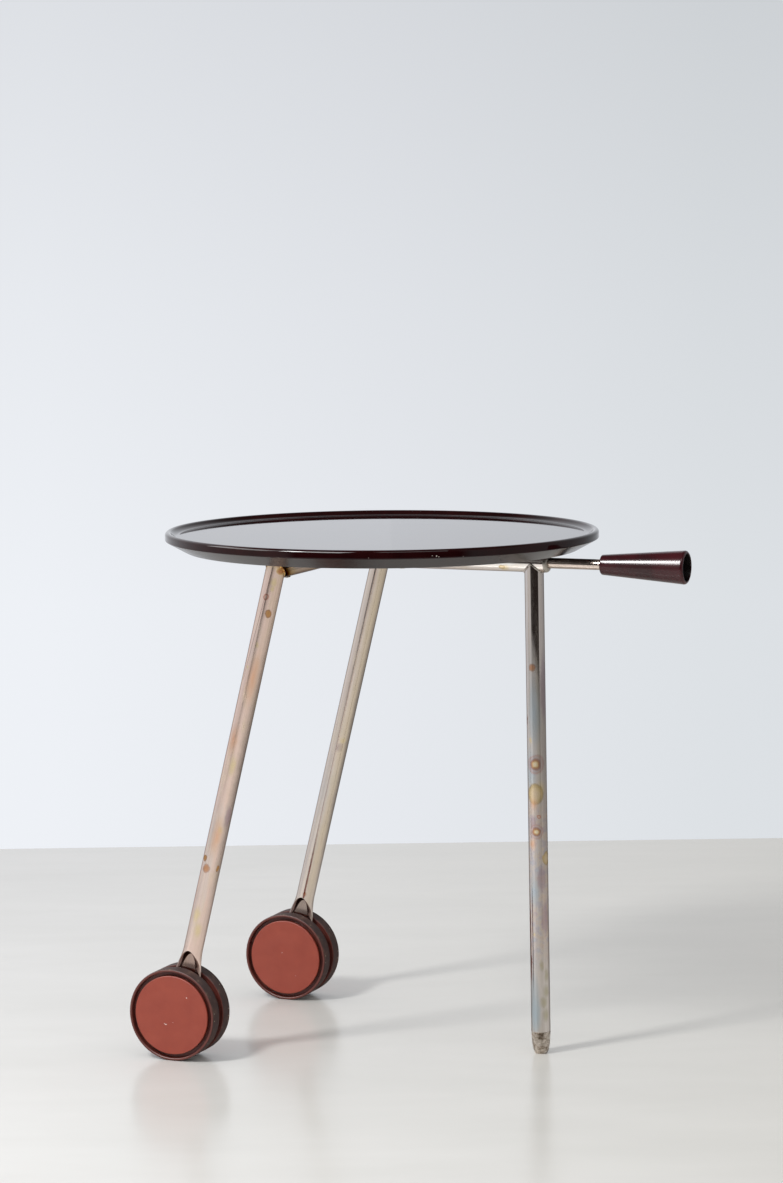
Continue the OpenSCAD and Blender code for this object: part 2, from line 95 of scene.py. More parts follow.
class Mark(Enum):
    """Kinds of stain and tint, and of painted shade, each as stops of place, colour and cover.

    FILM and DIRT run over the level of a pattern, the others from a stain's middle outwards.
    """

    GOLD_RING = ((0.0, "#FBEFD6"), (0.2, "#F1D9AE"), (0.33, "#C79A72"), (0.5, "#AC8478", 0.85),
                 (0.66, "#C4B0B2", 0.5), (0.82, "#C79C92", 0.6), (1.0, "#C0AAB2", 0.0))
    GOLD_PATCH = ((0.0, "#EBD3B4", 0.85), (0.5, "#E6CFA6", 0.9), (0.76, "#CDB47E", 0.85),
                  (0.88, "#B39C6E", 0.6), (1.0, "#B8A890", 0.0))
    COPPER = ((0.0, "#CF9163", 0.85), (0.5, "#C99062", 0.8), (0.78, "#B58468", 0.6), (1.0, "#B89A90", 0.0))
    GLOW = ((0.0, "#EFB388", 0.7), (0.5, "#EDBF9E", 0.45), (1.0, "#EFD0BA", 0.0))
    RUST = ((0.0, "#6E3A2E", 0.9), (0.6, "#84493B", 0.7), (1.0, "#A87868", 0.0))
    OLIVE = ((0.0, "#ACA67E", 0.6), (0.55, "#A8A383", 0.4), (1.0, "#B4B09A", 0.0))
    FLAME = ((0.0, "#CE9060", 0.9), (0.4, "#B5743F", 0.85), (0.65, "#BC8748", 0.7), (0.82, "#DDB25E", 0.7),
             (1.0, "#E0CBA0", 0.0))
    # Painted shade along the side of a rear leg that faces away from the lamps
    PAINTED_SHADE = ((0.0, "#8A8381", 0.7), (0.5, "#968D89", 0.5), (1.0, "#B0A29C", 0.0))
    STRIPE = ((0.0, "#E8D6B2", 0.45), (0.6, "#E6D5B8", 0.35), (1.0, "#E4D5C0", 0.0))
    OPEN_RING = ((0.0, "#E8CFC2", 0.6), (0.4, "#E2B9A6", 0.7), (0.64, "#C07C68", 0.9), (0.8, "#CF9A8C", 0.6),
                 (1.0, "#E0B5A6", 0.0))
    STRAW = ((0.0, "#EFDCA6", 0.75), (0.5, "#ECD8AA", 0.55), (1.0, "#EBD8B8", 0.0))
    BROWN = ((0.0, "#C08E54", 0.9), (0.55, "#C39056", 0.9), (0.78, "#9E7044", 0.8), (1.0, "#B08A6E", 0.0))
    BLUE = ((0.0, "#B9CAD6", 0.75), (0.6, "#BAC8D1", 0.5), (1.0, "#BEC6CC", 0.0))
    MAUVE = ((0.0, "#A88FA0", 0.55), (0.6, "#A48C9E", 0.45), (1.0, "#B5A5B0", 0.0))
    HEAT = ((0.0, "#6B4A2C", 0.8), (0.3, "#B58A50", 0.7), (0.55, "#E0C48C", 0.5), (1.0, "#EBD8B8", 0.0))
    # Soot from the brazing, and painted shade: darkens the cross tube's ends, where the tray shades them
    SOOT_AND_SHADE = ((0.0, "#3A2E1E", 0.95), (0.5, "#5A4830", 0.85), (0.8, "#8A7350", 0.5), (1.0, "#C0A884", 0.0))
    FILM = ((0.3, "#B6C5CE", 0.5), (0.4, "#B3A6B6", 0.5), (0.5, "#CDB8B0", 0.3), (0.58, "#DBBEA4", 0.45),
            (0.66, "#BAA2B2", 0.5), (0.76, "#C2B58C", 0.4))
    DIRT = ((0.3, "#24140F", 0.9), (0.5, "#331D17", 0.85), (0.6, "#4A352A", 0.8), (0.69, "#8A7E5A", 0.8))


def linear(hex_colour: str, cover: float = 1.0) -> tuple[float, float, float, float]:
    """Turns an sRGB hex colour to linear light.

    Args:
        hex_colour: the colour as #RRGGBB.
        cover: the alpha that it gets.

    Returns:
        Red, green, blue and alpha.
    """
    parts = [int(hex_colour[i:i + 2], 16) / 255 for i in (1, 3, 5)]
    light = [c / 12.92 if c <= 0.04045 else ((c + 0.055) / 1.055) ** 2.4 for c in parts]
    return *light, cover


def add(tree: Tree, kind: str, inputs: dict[Any, Any] | None = None, stops: Sequence[tuple] = (),
        **settings: Any) -> Node:
    """Adds a node with its settings, values and links.

    Args:
        tree: the node tree.
        kind: the node's type, with ShaderNode at its front left out.
        inputs: for each socket's name or index a value, a hex colour, or a socket or node to link. The limits
            of a range stand in pairs, under From and To.
        stops: place, hex colour and, where it isn't 1, alpha of a colour ramp's stops.
        settings: the node's own settings.

    Returns:
        The new node.
    """
    node = tree.nodes.new(kind if "Node" in kind else "ShaderNode" + kind)
    for key, value in settings.items():
        setattr(node, key, value)
    values = dict(inputs or {})
    for side in ("From", "To"):
        if side in values:
            values[side + " Min"], values[side + " Max"] = values.pop(side)
    for key, value in values.items():
        if isinstance(value, Node):
            value = next(output for output in value.outputs if output.enabled)
        if isinstance(value, Socket):
            tree.links.new(value, node.inputs[key])
        else:
            node.inputs[key].default_value = linear(value) if isinstance(value, str) else value
    for i, (place, *shade) in enumerate(stops):
        elements = node.color_ramp.elements
        element = elements[i] if i < 2 else elements.new(place)
        element.position = place
        element.color = linear(*shade)
    return node


@dataclass(frozen=True)
class Place:
    """Where a piece's own axis stands: an origin in mm and a turn in degrees, with the axis along Z."""

    x: float = 0.0
    y: float = 0.0
    z: float = 0.0
    turn: tuple[float, float, float] = (0.0, 0.0, 0.0)

    def matrix(self) -> Matrix:
        """The place as a matrix in metres."""
        spin = Euler([math.radians(a) for a in self.turn]).to_matrix().to_4x4()
        return Matrix.Translation(Vector((self.x, self.y, self.z)) * MM) @ spin

    def local(self, tree: Tree) -> Node:
        """Adds nodes that give the piece's own coordinates in mm, from its Object coordinates.

        Args:
            tree: the material's tree.

        Returns:
            The node that gives the coordinates.
        """
        back = self.matrix().inverted()
        source = add(tree, "TexCoord")
        return add(tree, "Mapping", {
            "Vector": source.outputs["Object"],
            "Location": back.to_translation() / MM,
            "Rotation": back.to_euler(),
            "Scale": (1 / MM,) * 3,
        })

    def point(self, x: float, y: float, z: float) -> Spot:
        """A point of the piece's own coordinates in the table's, in mm."""
        return tuple(self.matrix() @ (Vector((x, y, z)) * MM) / MM)


@dataclass(frozen=True)
class Layout:
    """Places that several sub-assemblies share, in mm, read from the CAD model's boxes."""

    tray_x: float
    tray_r: float
    rim_z: float
    base_z: float
    frame_z: float
    tube_r: float
    cross_x: float
    leg_y: float
    axle_x: float
    wheel_r: float
    spine_end: float
    grip_x: float
    grip_end: float
    rod_back: float

    @classmethod
    def read(cls) -> "Layout":
        """Reads the layout from the frame.

        Returns:
            The layout.
        """
        boxes = {n: [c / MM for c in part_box(n)] for n in (
            "tray", "cross_tube", "axle_left", "wheel_left_outer", "spine_tube", "handle_grip", "handle_rod")}
        tray, cross, axle = boxes["tray"], boxes["cross_tube"], boxes["axle_left"]
        wheel, grip = boxes["wheel_left_outer"], boxes["handle_grip"]
        middle = {n: (low + high) / 2 for n, (low, high) in boxes.items()}
        return cls(
            tray_x=middle["tray"].x, tray_r=(tray[1].x - tray[0].x) / 2, rim_z=tray[1].z, base_z=tray[0].z,
            frame_z=middle["cross_tube"].z, tube_r=(cross[1].z - cross[0].z) / 2,
            cross_x=middle["cross_tube"].x, leg_y=-(axle[0].y + axle[1].y) / 2, axle_x=middle["axle_left"].x,
            wheel_r=(wheel[1].z - wheel[0].z) / 2, spine_end=boxes["spine_tube"][1].x,
            grip_x=grip[0].x, grip_end=grip[1].x, rod_back=boxes["handle_rod"][0].x)


# shapes


@dataclass(frozen=True)
class Outline:
    """Half outline of a turned piece: corners as radius, height and rounding in mm, from end to end."""

    corners: tuple[Corner, ...]
    closed: bool = False
    step: float = 7.5
    hold: float = 0.35

    def points(self) -> Points:
        """Rounds the corners into arcs, with support points where the straight runs end.

        Returns:
            The outline's points. A closed outline repeats its first point at its end.
        """
        count = len(self.corners)
        runs: list[Points] = []
        for i, (r, z, rounding) in enumerate(self.corners):
            inner = self.closed or 0 < i < count - 1
            if not inner or rounding == 0:
                runs.append([(r, z)])
                continue
            here = np.array((r, z))
            before = np.array(self.corners[i - 1][:2]) - here
            after = np.array(self.corners[(i + 1) % count][:2]) - here
            runs.append(self.arc(here, before, after, rounding))
        points: Points = []
        for run in runs:
            if points:
                points += self.supports(points[-1], run[0])
            points += run
        if self.closed:
            points += self.supports(points[-1], points[0]) + [points[0]]
        return points

    @classmethod
    def ring(cls, bore: float, outer: float, low: float, high: float, inner_edge: float = 0.0,
             outer_edge: float = 0.0, hold: float = 0.35) -> "Outline":
        """Half outline of a plain ring, or of a pin where its bore is 0.

        Args:
            bore: inner radius.
            outer: outer radius.
            low: height of the lower face.
            high: height of the upper face.
            inner_edge: rounding of the bore's edges.
            outer_edge: rounding of the outer edges.
            hold: distance of the support points.

        Returns:
            The outline.
        """
        return cls(((bore, low, inner_edge), (outer, low, outer_edge), (outer, high, outer_edge),
                    (bore, high, inner_edge)), closed=bore > 0, hold=hold)

    def arc(self, corner: np.ndarray, before: np.ndarray, after: np.ndarray, rounding: float) -> Points:
        """Points of the arc that rounds a corner.

        Args:
            corner: the corner.
            before: from the corner to the one before.
            after: from the corner to the next one.
            rounding: the arc's radius.

        Returns:
            The arc's points.
        """
        u, v = before / np.linalg.norm(before), after / np.linalg.norm(after)
        half = math.acos(float(np.clip(u @ v, -1, 1))) / 2
        reach = rounding / math.tan(half)
        middle = (u + v) / np.linalg.norm(u + v)
        centre = corner + middle * rounding / math.sin(half)
        start, end = corner + u * reach - centre, corner + v * reach - centre
        sweep = math.atan2(start[0] * end[1] - start[1] * end[0], float(start @ end))
        steps = max(3, math.ceil(abs(math.degrees(sweep)) / self.step))
        turns = [sweep * k / steps for k in range(steps + 1)]
        return [(float(centre[0] + start[0] * math.cos(t) - start[1] * math.sin(t)),
                 float(centre[1] + start[0] * math.sin(t) + start[1] * math.cos(t))) for t in turns]

    def supports(self, start: tuple[float, float], end: tuple[float, float]) -> Points:
        """Two points just inside a straight run, so that smooth shading keeps it straight.

        Args:
            start: where the run starts.
            end: where it ends.

        Returns:
            The points, or none where the run is short.
        """
        a, b = np.array(start), np.array(end)
        length = float(np.linalg.norm(b - a))
        if length < 4 * self.hold:
            return []
        near = self.hold / length
        return [tuple(a + (b - a) * t) for t in (near, 1 - near)]


def mesh_object(name: str, points: Any, faces: Sequence[Sequence[int]] = (),
                edges: Sequence[Sequence[int]] = ()) -> Thing:
    """Makes a mesh object in the scene from points in mm.

    Args:
        name: the object's name.
        points: the points, in mm.
        faces: the faces' point numbers.
        edges: the edges' point numbers.

    Returns:
        The object.
    """
    mesh = bpy.data.meshes.new(name)
    mesh.from_pydata([tuple(float(c) * MM for c in p) for p in points], edges, faces)
    made = bpy.data.objects.new(name, mesh)
    bpy.context.scene.collection.objects.link(made)
    return made


def block(name: str, low: Spot, high: Spot) -> Thing:
    """Makes a box from its lowest and its highest corner, in mm."""
    faces = [(0, 1, 3, 2), (4, 6, 7, 5), (0, 4, 5, 1), (2, 3, 7, 6), (0, 2, 6, 4), (1, 5, 7, 3)]
    return mesh_object(name, list(product(*zip(low, high))), faces)


def evaluate(name: str, tree: Tree, values: dict[str, Any]) -> Thing:
    """Runs a Geometry Nodes tree once and keeps its result as a plain mesh.

    Args:
        name: the new object's name.
        tree: the tree.
        values: a value for each of its named inputs.

    Returns:
        The object, without a modifier.
    """
    made = mesh_object(name, [])
    modifier = made.modifiers.new("made", "NODES")
    modifier.node_group = tree
    for item in tree.interface.items_tree:
        if item.item_type == "SOCKET" and item.in_out == "INPUT" and item.name in values:
            modifier[item.identifier] = values[item.name]
    view = bpy.context.evaluated_depsgraph_get()
    mesh = bpy.data.meshes.new_from_object(made.evaluated_get(view))
    made.modifiers.remove(modifier)
    made.data = mesh
    return made


def new_tree(name: str, inputs: dict[str, str]) -> tuple[Tree, Any]:
    """Starts a Geometry Nodes tree.

    Args:
        name: the tree's name.
        inputs: the socket type of each named input.

    Returns:
        The tree and the sockets that give its inputs.
    """
    tree = bpy.data.node_groups.new(name, "GeometryNodeTree")
    for label, kind in inputs.items():
        tree.interface.new_socket(name=label, in_out="INPUT", socket_type=kind)
    tree.interface.new_socket(name="Geometry", in_out="OUTPUT", socket_type="NodeSocketGeometry")
    return tree, add(tree, "NodeGroupInput").outputs


def end_tree(tree: Tree, shape: Node, material: Socket) -> None:
    """Ends a tree with real geometry in its material.

    Args:
        tree: the tree.
        shape: the node that gives the shape.
        material: the socket that gives the material.
    """
    real = add(tree, "GeometryNodeRealizeInstances", {"Geometry": shape})
    dressed = add(tree, "GeometryNodeSetMaterial", {"Geometry": real, "Material": material})
    add(tree, "NodeGroupOutput", {"Geometry": dressed})


def uneven(tree: Tree, shape: Node, grain: dict[str, Any], depth: Socket) -> Node:
    """Pushes the surface of a shape in and out by a noise.

    Args:
        tree: the tree.
        shape: the node that gives the shape.
        grain: the noise's inputs, with its fixed seed as W.
        depth: the socket that gives the depth.

    Returns:
        The node that gives the uneven shape.
    """
    here = add(tree, "GeometryNodeInputPosition")
    noise = add(tree, "TexNoise", {"Vector": here, **grain}, noise_dimensions="4D")
    level = add(tree, "Math", {0: noise, 1: 0.5}, operation="SUBTRACT")
    reach = add(tree, "Math", {0: level, 1: depth}, operation="MULTIPLY")
    normal = add(tree, "GeometryNodeInputNormal")
    push = add(tree, "VectorMath", {0: normal, "Scale": reach}, operation="SCALE")
    return add(tree, "GeometryNodeSetPosition", {"Geometry": shape, "Offset": push})


class Lathe:
    """Geometry Nodes tree that turns a profile round its axis, and pits the surface if asked to."""

    SEED = 7.0

    def __init__(self) -> None:
        """Builds the tree: a grid whose columns are copies of the profile, each turned a step further."""
        tree, given = new_tree("lathe", {
            "Profile": "NodeSocketObject", "Segments": "NodeSocketInt", "Pit depth": "NodeSocketFloat",
            "Pit scale": "NodeSocketFloat", "Material": "NodeSocketMaterial"})
        profile = add(tree, "GeometryNodeObjectInfo", {"Object": given["Profile"]}).outputs["Geometry"]
        count = add(tree, "GeometryNodeAttributeDomainSize", {"Geometry": profile}).outputs["Point Count"]
        columns = add(tree, "Math", {0: given["Segments"], 1: 1.0}, operation="ADD")
        grid = add(tree, "GeometryNodeMeshGrid", {"Vertices X": columns, "Vertices Y": count})
        index = add(tree, "GeometryNodeInputIndex")
        row = add(tree, "Math", {0: index, 1: count}, operation="MODULO")
        middle = add(tree, "Math", {0: index, 1: 0.5}, operation="ADD")
        share = add(tree, "Math", {0: middle, 1: count}, operation="DIVIDE")
        column = add(tree, "Math", {0: share}, operation="FLOOR")
        part = add(tree, "Math", {0: column, 1: given["Segments"]}, operation="DIVIDE")
        angle = add(tree, "Math", {0: part, 1: math.tau}, operation="MULTIPLY")
        here = add(tree, "GeometryNodeInputPosition")
        sample = add(tree, "GeometryNodeSampleIndex", {"Geometry": profile, "Value": here, "Index": row},
                     data_type="FLOAT_VECTOR")
        turned = add(tree, "VectorRotate", {"Vector": sample, "Angle": angle}, rotation_type="Z_AXIS")
        shape = add(tree, "GeometryNodeSetPosition", {"Geometry": grid, "Position": turned})
        welded = add(tree, "GeometryNodeMergeByDistance", {"Geometry": shape, "Distance": WELD})
        pitted = uneven(tree, welded, {
            "W": self.SEED, "Scale": given["Pit scale"], "Detail": 3.0, "Roughness": 0.62},
            given["Pit depth"])
        end_tree(tree, pitted, given["Material"])
        self.tree = tree

    def turn(self, name: str, outline: Outline, place: Place, material: Material | None = None,
             segments: int = 96, pit_depth: float = 0.0, pit_size: float = 3.0) -> Thing:
        """Turns a piece.

        Args:
            name: the piece's name.
            outline: its half outline.
            place: its axis in the table.
            material: its finish.
            segments: steps round the axis.
            pit_depth: depth of the pits, in mm.
            pit_size: size of the pits, in mm.

        Returns:
            The piece, in place.
        """
        profile = mesh_object(name + "_profile", [(r, 0, z) for r, z in outline.points()])
        made = evaluate(name, self.tree, {
            "Profile": profile, "Segments": segments, "Pit depth": pit_depth * MM,
            "Pit scale": 1 / (pit_size * MM), "Material": material})
        bpy.data.objects.remove(profile)
        made.data.transform(place.matrix())
        return made


class Scatter:
    """Geometry Nodes tree that puts a copy of a piece at each point of a list, turned about Z."""

    def __init__(self) -> None:
        """Builds the tree."""
        tree, given = new_tree("scatter", {
            "Places": "NodeSocketObject", "Piece": "NodeSocketObject", "Turn per copy": "NodeSocketFloat",
            "Material": "NodeSocketMaterial"})
        places = add(tree, "GeometryNodeObjectInfo", {"Object": given["Places"]}).outputs["Geometry"]
        piece = add(tree, "GeometryNodeObjectInfo", {"Object": given["Piece"]}).outputs["Geometry"]
        index = add(tree, "GeometryNodeInputIndex")
        angle = add(tree, "Math", {0: index, 1: given["Turn per copy"]}, operation="MULTIPLY")
        turn = add(tree, "CombineXYZ", {"Z": angle})
        copies = add(tree, "GeometryNodeInstanceOnPoints",
                     {"Points": places, "Instance": piece, "Rotation": turn})
        end_tree(tree, copies, given["Material"])
        self.tree = tree

    def spread(self, name: str, piece: Thing, places: Sequence[Spot],
               material: Material | None, turn: float = 0.0) -> Thing:
        """Puts copies of a piece at some places and removes the piece.

        Args:
            name: the name of the copies together.
            piece: the piece, with its origin where each place will be.
            places: the places, in mm.
            material: the finish.
            turn: how far each copy is turned past the one before, in degrees.

        Returns:
            The copies as one mesh.
        """
        points = mesh_object(name + "_places", places)
        made = evaluate(name, self.tree, {
            "Places": points, "Piece": piece, "Turn per copy": math.radians(turn), "Material": material})
        bpy.data.objects.remove(points)
        bpy.data.objects.remove(piece)
        return made


class Braze:
    """Geometry Nodes tree that lays an uneven bead of metal along a closed seam."""

    SEED = 3.0
    LUMP = 2.6

    def __init__(self) -> None:
        """Builds the tree."""
        tree, given = new_tree("braze", {
            "Seam": "NodeSocketObject", "Bead radius": "NodeSocketFloat", "Unevenness": "NodeSocketFloat",
            "Material": "NodeSocketMaterial"})
        seam = add(tree, "GeometryNodeObjectInfo", {"Object": given["Seam"]}).outputs["Geometry"]
        path = add(tree, "GeometryNodeMeshToCurve", {"Mesh": seam})
        bead = add(tree, "GeometryNodeCurvePrimitiveCircle", {
            "Resolution": 12, "Radius": given["Bead radius"]})
        swept = add(tree, "GeometryNodeCurveToMesh", {"Curve": path, "Profile Curve": bead})
        ragged = uneven(tree, swept, {"W": self.SEED, "Scale": 1 / (self.LUMP * MM), "Detail": 2.0},
                        given["Unevenness"])
        end_tree(tree, ragged, given["Material"])
        self.tree = tree

    def lay(self, name: str, seam: Sequence[Spot], radius: float, top: float,
            material: Material) -> Thing:
        """Lays a bead.

        Args:
            name: the bead's name.
            seam: points of the closed seam, in mm.
            radius: the bead's radius, in mm.
            top: height that the bead stays below, in mm.
            material: the finish.

        Returns:
            The bead.
        """
        count = len(seam)
        path = mesh_object(name + "_seam", seam, edges=[(i, (i + 1) % count) for i in range(count)])
        made = evaluate(name, self.tree, {
            "Seam": path, "Bead radius": radius * MM, "Unevenness": 0.9 * radius * MM, "Material": material})
        bpy.data.objects.remove(path)
        for vertex in made.data.vertices:
            vertex.co.z = min(vertex.co.z, top * MM)
        return made


def carve(target: Thing, tools: Sequence[Thing], operation: str = "DIFFERENCE") -> None:
    """Cuts tools out of a mesh, or joins them to it, and removes the tools.

    Args:
        target: the mesh object that is changed.
        tools: closed mesh objects.
        operation: DIFFERENCE or UNION.
    """
    for tool in tools:
        modifier = target.modifiers.new("carve", "BOOLEAN")
        modifier.operation = operation
        modifier.solver = "EXACT"
        modifier.object = tool
        view = bpy.context.evaluated_depsgraph_get()
        mesh = bpy.data.meshes.new_from_object(target.evaluated_get(view))
        target.modifiers.remove(modifier)
        target.data = mesh
        bpy.data.objects.remove(tool)


def dress(piece: Thing, material: Material, inside: Callable[[Vector], bool]) -> None:
    """Gives some faces of a piece a second finish.

    Args:
        piece: the piece.
        material: the second finish.
        inside: tells from a face's middle, in mm, whether it gets the finish.
    """
    piece.data.materials.append(material)
    for face in piece.data.polygons:
        if inside(face.center / MM):
            face.material_index = len(piece.data.materials) - 1


def settle(piece: Thing, slot: Slot, *nodes: str, body: str = "frame", material: Material | None = None,
           sharp: float = 35.0) -> None:
    """Cleans a finished piece and ties it to its body.

    Args:
        piece: the piece.
        slot: the record's material slot; not used.
        nodes: CAD nodes that it stands for.
        body: the CAD body that it rides on.
        material: its finish, where its mesh has none yet.
        sharp: the angle from which an edge is sharp, in degrees.
    """
    mesh = piece.data
    work = bmesh.new()
    work.from_mesh(mesh)
    bmesh.ops.remove_doubles(work, verts=work.verts, dist=WELD)
    bmesh.ops.dissolve_degenerate(work, edges=work.edges, dist=WELD / 10)
    bmesh.ops.recalc_face_normals(work, faces=work.faces)
    work.to_mesh(mesh)
    work.free()
    if material:
        mesh.materials.clear()
        mesh.materials.append(material)
    mesh.shade_smooth()
    mesh.set_sharp_from_angle(angle=math.radians(sharp))
    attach(piece, body)
    if nodes:
        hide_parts(*nodes)
    mesh.calc_loop_triangles()
    log.info("%s: %d triangles on %s", piece.name, len(mesh.loop_triangles), body)


# finishes


def new_material(name: str) -> tuple[Material, Tree]:
    """Starts a material that has no nodes yet.

    Args:
        name: its name.

    Returns:
        The material and its tree.
    """
    material = bpy.data.materials.new(name)
    material.use_nodes = True
    material.node_tree.nodes.clear()
    return material, material.node_tree


def end_material(material: Material, inputs: dict[str, Any]) -> Material:
    """Ends a material with its shader.

    Args:
        material: the material.
        inputs: the shader's inputs.

    Returns:
        The material.
    """
    shader = add(material.node_tree, "BsdfPrincipled", inputs)
    add(material.node_tree, "OutputMaterial", {"Surface": shader})
    return material


def chipped(tree: Tree, local: Node, chips: Sequence[Chip], core: float, cover: float,
            colour: str) -> list[Layer]:
    """Knocks small round chips into a surface.

    Args:
        tree: the material's tree.
        local: the piece's own coordinates.
        chips: the chips.
        core: share of a chip's radius that is bare throughout.
        cover: how much of the surface's colour is gone there.
        colour: what shows in a chip.

    Returns:
        A layer for each chip.
    """
    layers = []
    for *middle, radius in chips:
        away = add(tree, "VectorMath", {0: local, 1: middle}, operation="DISTANCE")
        bare = add(tree, "MapRange", {"Value": away, "From": (core * radius, radius), "To": (cover, 0.0)})
        layers.append((bare, colour))
    return layers


@dataclass(frozen=True)
class Stain:
    """A stain or a patch of painted shade: its kind, height along the tube, turn about it, radius and stretch
    along the tube.
    """

    mark: Mark
    height: float
    turn: float
    radius: float
    stretch: float = 1.0


@dataclass(frozen=True)
class Seam:
    """A thin dark line along a tube, from one height and turn to another."""

    top: float
    top_turn: float
    low: float
    low_turn: float
    width: float = 0.45


@dataclass(frozen=True)
class NickelPlate:
    """Nickel plate on drawn steel tube, polished once and tarnished since.

    The eye gets sharp reflections in a warm film of oxide that runs from silver through straw to pink, in
    long clouds along the tube, drip stains with gold, brown and mauve rings, and heat tints at the brazing.
    """

    name: str
    place: Place
    silver: str
    film: str
    deep: str = "#B79A92"
    straw: str = "#E6CC9E"
    tube_r: float = 11.0
    # Stains, and on the rear legs patches of painted shade
    stains: tuple[Stain, ...] = ()
    seam: Seam | None = None
    # From where to where the film is patchy
    mottle: tuple[float, float] | None = None
    # Tints beside each brazed joint, with painted shade in the cross tube's soot: mark, height, tilt and
    # reach
    heat: tuple[tuple[Mark, float, float, float], ...] = ()
    # The pressed end's arch: height, distance of the pressed face and half width
    press: tuple[float, float, float] | None = None
    edge: str = "#827C7A"
    mottle_fade: float = 30.0
    gloss: tuple[float, float] = (0.07, 0.2)

    def material(self) -> Material:
        """Builds the material.

        Returns:
            The material.
        """
        made, tree = new_material(self.name)
        local = self.place.local(tree)
        # Clouds 160 mm long, polishing streaks 1.2 mm wide and soft patches 30 mm long
        clouds, streaks, patches = (
            add(tree, "TexNoise", {
                "Vector": add(tree, "VectorMath", {0: local, 1: (1 / across, 1 / across, 1 / along)},
                              operation="MULTIPLY"),
                "Scale": 1.0, "Detail": detail, "Roughness": fine})
            for across, along, detail, fine in ((25, 160, 4.0, 0.55), (1.2, 90, 2.0, 0.5), (8, 30, 5.0, 0.5)))
        colour = add(tree, "ValToRGB", {"Fac": clouds}, stops=(
            (0.3, self.silver), (0.46, self.film), (0.64, self.film), (0.8, self.straw)))
        polished = add(tree, "MapRange", {"Value": streaks, "From": (0.52, 0.85), "To": (0.0, 0.4)})
        dulled = add(tree, "MapRange", {"Value": patches, "From": (0.5, 0.8), "To": (0.0, 0.55)})
        layers = [(polished, self.deep), (dulled, self.straw)]
        # Blotches 9 mm across, which also make the stains' outlines wander by up to a millimetre
        blotches = add(tree, "TexNoise", {"Vector": local, "Scale": 1 / 9, "Detail": 5.0, "Roughness": 0.6})
        centred = add(tree, "VectorMath", {0: blotches.outputs["Color"], 1: (0.5,) * 3}, operation="SUBTRACT")
        wander = add(tree, "VectorMath", {0: centred, 1: (5.0,) * 3, 2: local}, operation="MULTIPLY_ADD")
        if self.mottle:
            layers.append(self.mottled(tree, local, blotches))
        layers += [self.heated(tree, wander, *joint) for joint in self.heat]
        layers += [self.stained(tree, wander, stain) for stain in self.stains]
        # Specks of dirt, under a millimetre across and far apart
        cells = add(tree, "TexVoronoi", {"Vector": local, "Scale": 1 / 8})
        specks = add(tree, "MapRange", {"Value": cells, "From": (0.03, 0.06), "To": (0.7, 0.0)})
        layers.append((specks, "#7E6150"))
        if self.seam:
            layers.append(self.seamed(tree, local, streaks, self.seam))
        # Painted shade and grime in the pressed end
        if self.press:
            layers.append(self.shaded_and_grimed(tree, local, *self.press))
        for cover, tint in layers:
            colour = add(tree, "Mix", {0: cover, UNDER: colour, OVER: tint}, data_type="RGBA")
        rough = add(tree, "MapRange", {"Value": patches, "From": (0.35, 0.7), "To": self.gloss})
        relief = add(tree, "Bump", {"Height": streaks, "Distance": 0.004 * MM})
        return end_material(made, {
            "Base Color": colour, "Metallic": 1.0, "Roughness": rough, "Normal": relief,
            "Specular Tint": self.edge})

    def stained(self, tree: Tree, wander: Node, stain: Stain) -> Layer:
        """Draws a stain, or a patch of painted shade.

        Args:
            tree: the material's tree.
            wander: the tube's own coordinates, made uneven.
            stain: the stain.

        Returns:
            The stain's cover and colour.
        """
        turn = math.radians(stain.turn)
        centre = (self.tube_r * math.cos(turn), self.tube_r * math.sin(turn), stain.height)
        away = add(tree, "VectorMath", {0: wander, 1: centre}, operation="SUBTRACT")
        evened = add(tree, "VectorMath", {0: away, 1: (1.0, 1.0, 1 / stain.stretch)}, operation="MULTIPLY")
        length = add(tree, "VectorMath", {0: evened}, operation="LENGTH")
        share = add(tree, "Math", {0: length, 1: stain.radius}, operation="DIVIDE")
        ring = add(tree, "ValToRGB", {"Fac": share}, stops=stain.mark.value)
        return ring.outputs["Alpha"], ring

    def heated(self, tree: Tree, wander: Node, mark: Mark, height: float, tilt: float, reach: float) -> Layer:
        """Draws the heat tints beside a brazed joint, and the soot with its painted shade.

        Args:
            tree: the material's tree.
            wander: the tube's own coordinates, made uneven.
            mark: the tints, from the joint outwards.
            height: where the joint is along the tube.
            tilt: how much the joint climbs along Y.
            reach: how far the tints reach.

        Returns:
            The tints' cover and colour.
        """
        along = add(tree, "VectorMath", {0: wander, 1: (0.0, -tilt, 1.0)}, operation="DOT_PRODUCT")
        away = add(tree, "Math", {0: along, 1: height}, operation="SUBTRACT")
        share = add(tree, "Math", {0: away, 1: 1 / reach}, operation="MULTIPLY")
        tints = add(tree, "ValToRGB", {
            "Fac": add(tree, "Math", {0: share}, operation="ABSOLUTE")}, stops=mark.value)
        return tints.outputs["Alpha"], tints

    def mottled(self, tree: Tree, local: Node, blotches: Node) -> Layer:
        """Draws the patchy colours of a thin oxide film over a stretch of the tube.

        Args:
            tree: the material's tree.
            local: the tube's own coordinates.
            blotches: the pattern of patches.

        Returns:
            The film's cover and colour.
        """
        height = add(tree, "SeparateXYZ", {0: local}).outputs["Z"]
        film = add(tree, "ValToRGB", {"Fac": blotches}, stops=Mark.FILM.value)
        cover = film.outputs["Alpha"]
        for end, before, past in ((self.mottle[0], 0.0, 1.0), (self.mottle[1], 1.0, 0.0)):
            part = add(tree, "MapRange", {
                "Value": height, "From": (end - self.mottle_fade, end + self.mottle_fade),
                "To": (before, past)}, interpolation_type="SMOOTHSTEP")
            cover = add(tree, "Math", {0: cover, 1: part}, operation="MULTIPLY")
        return cover, film

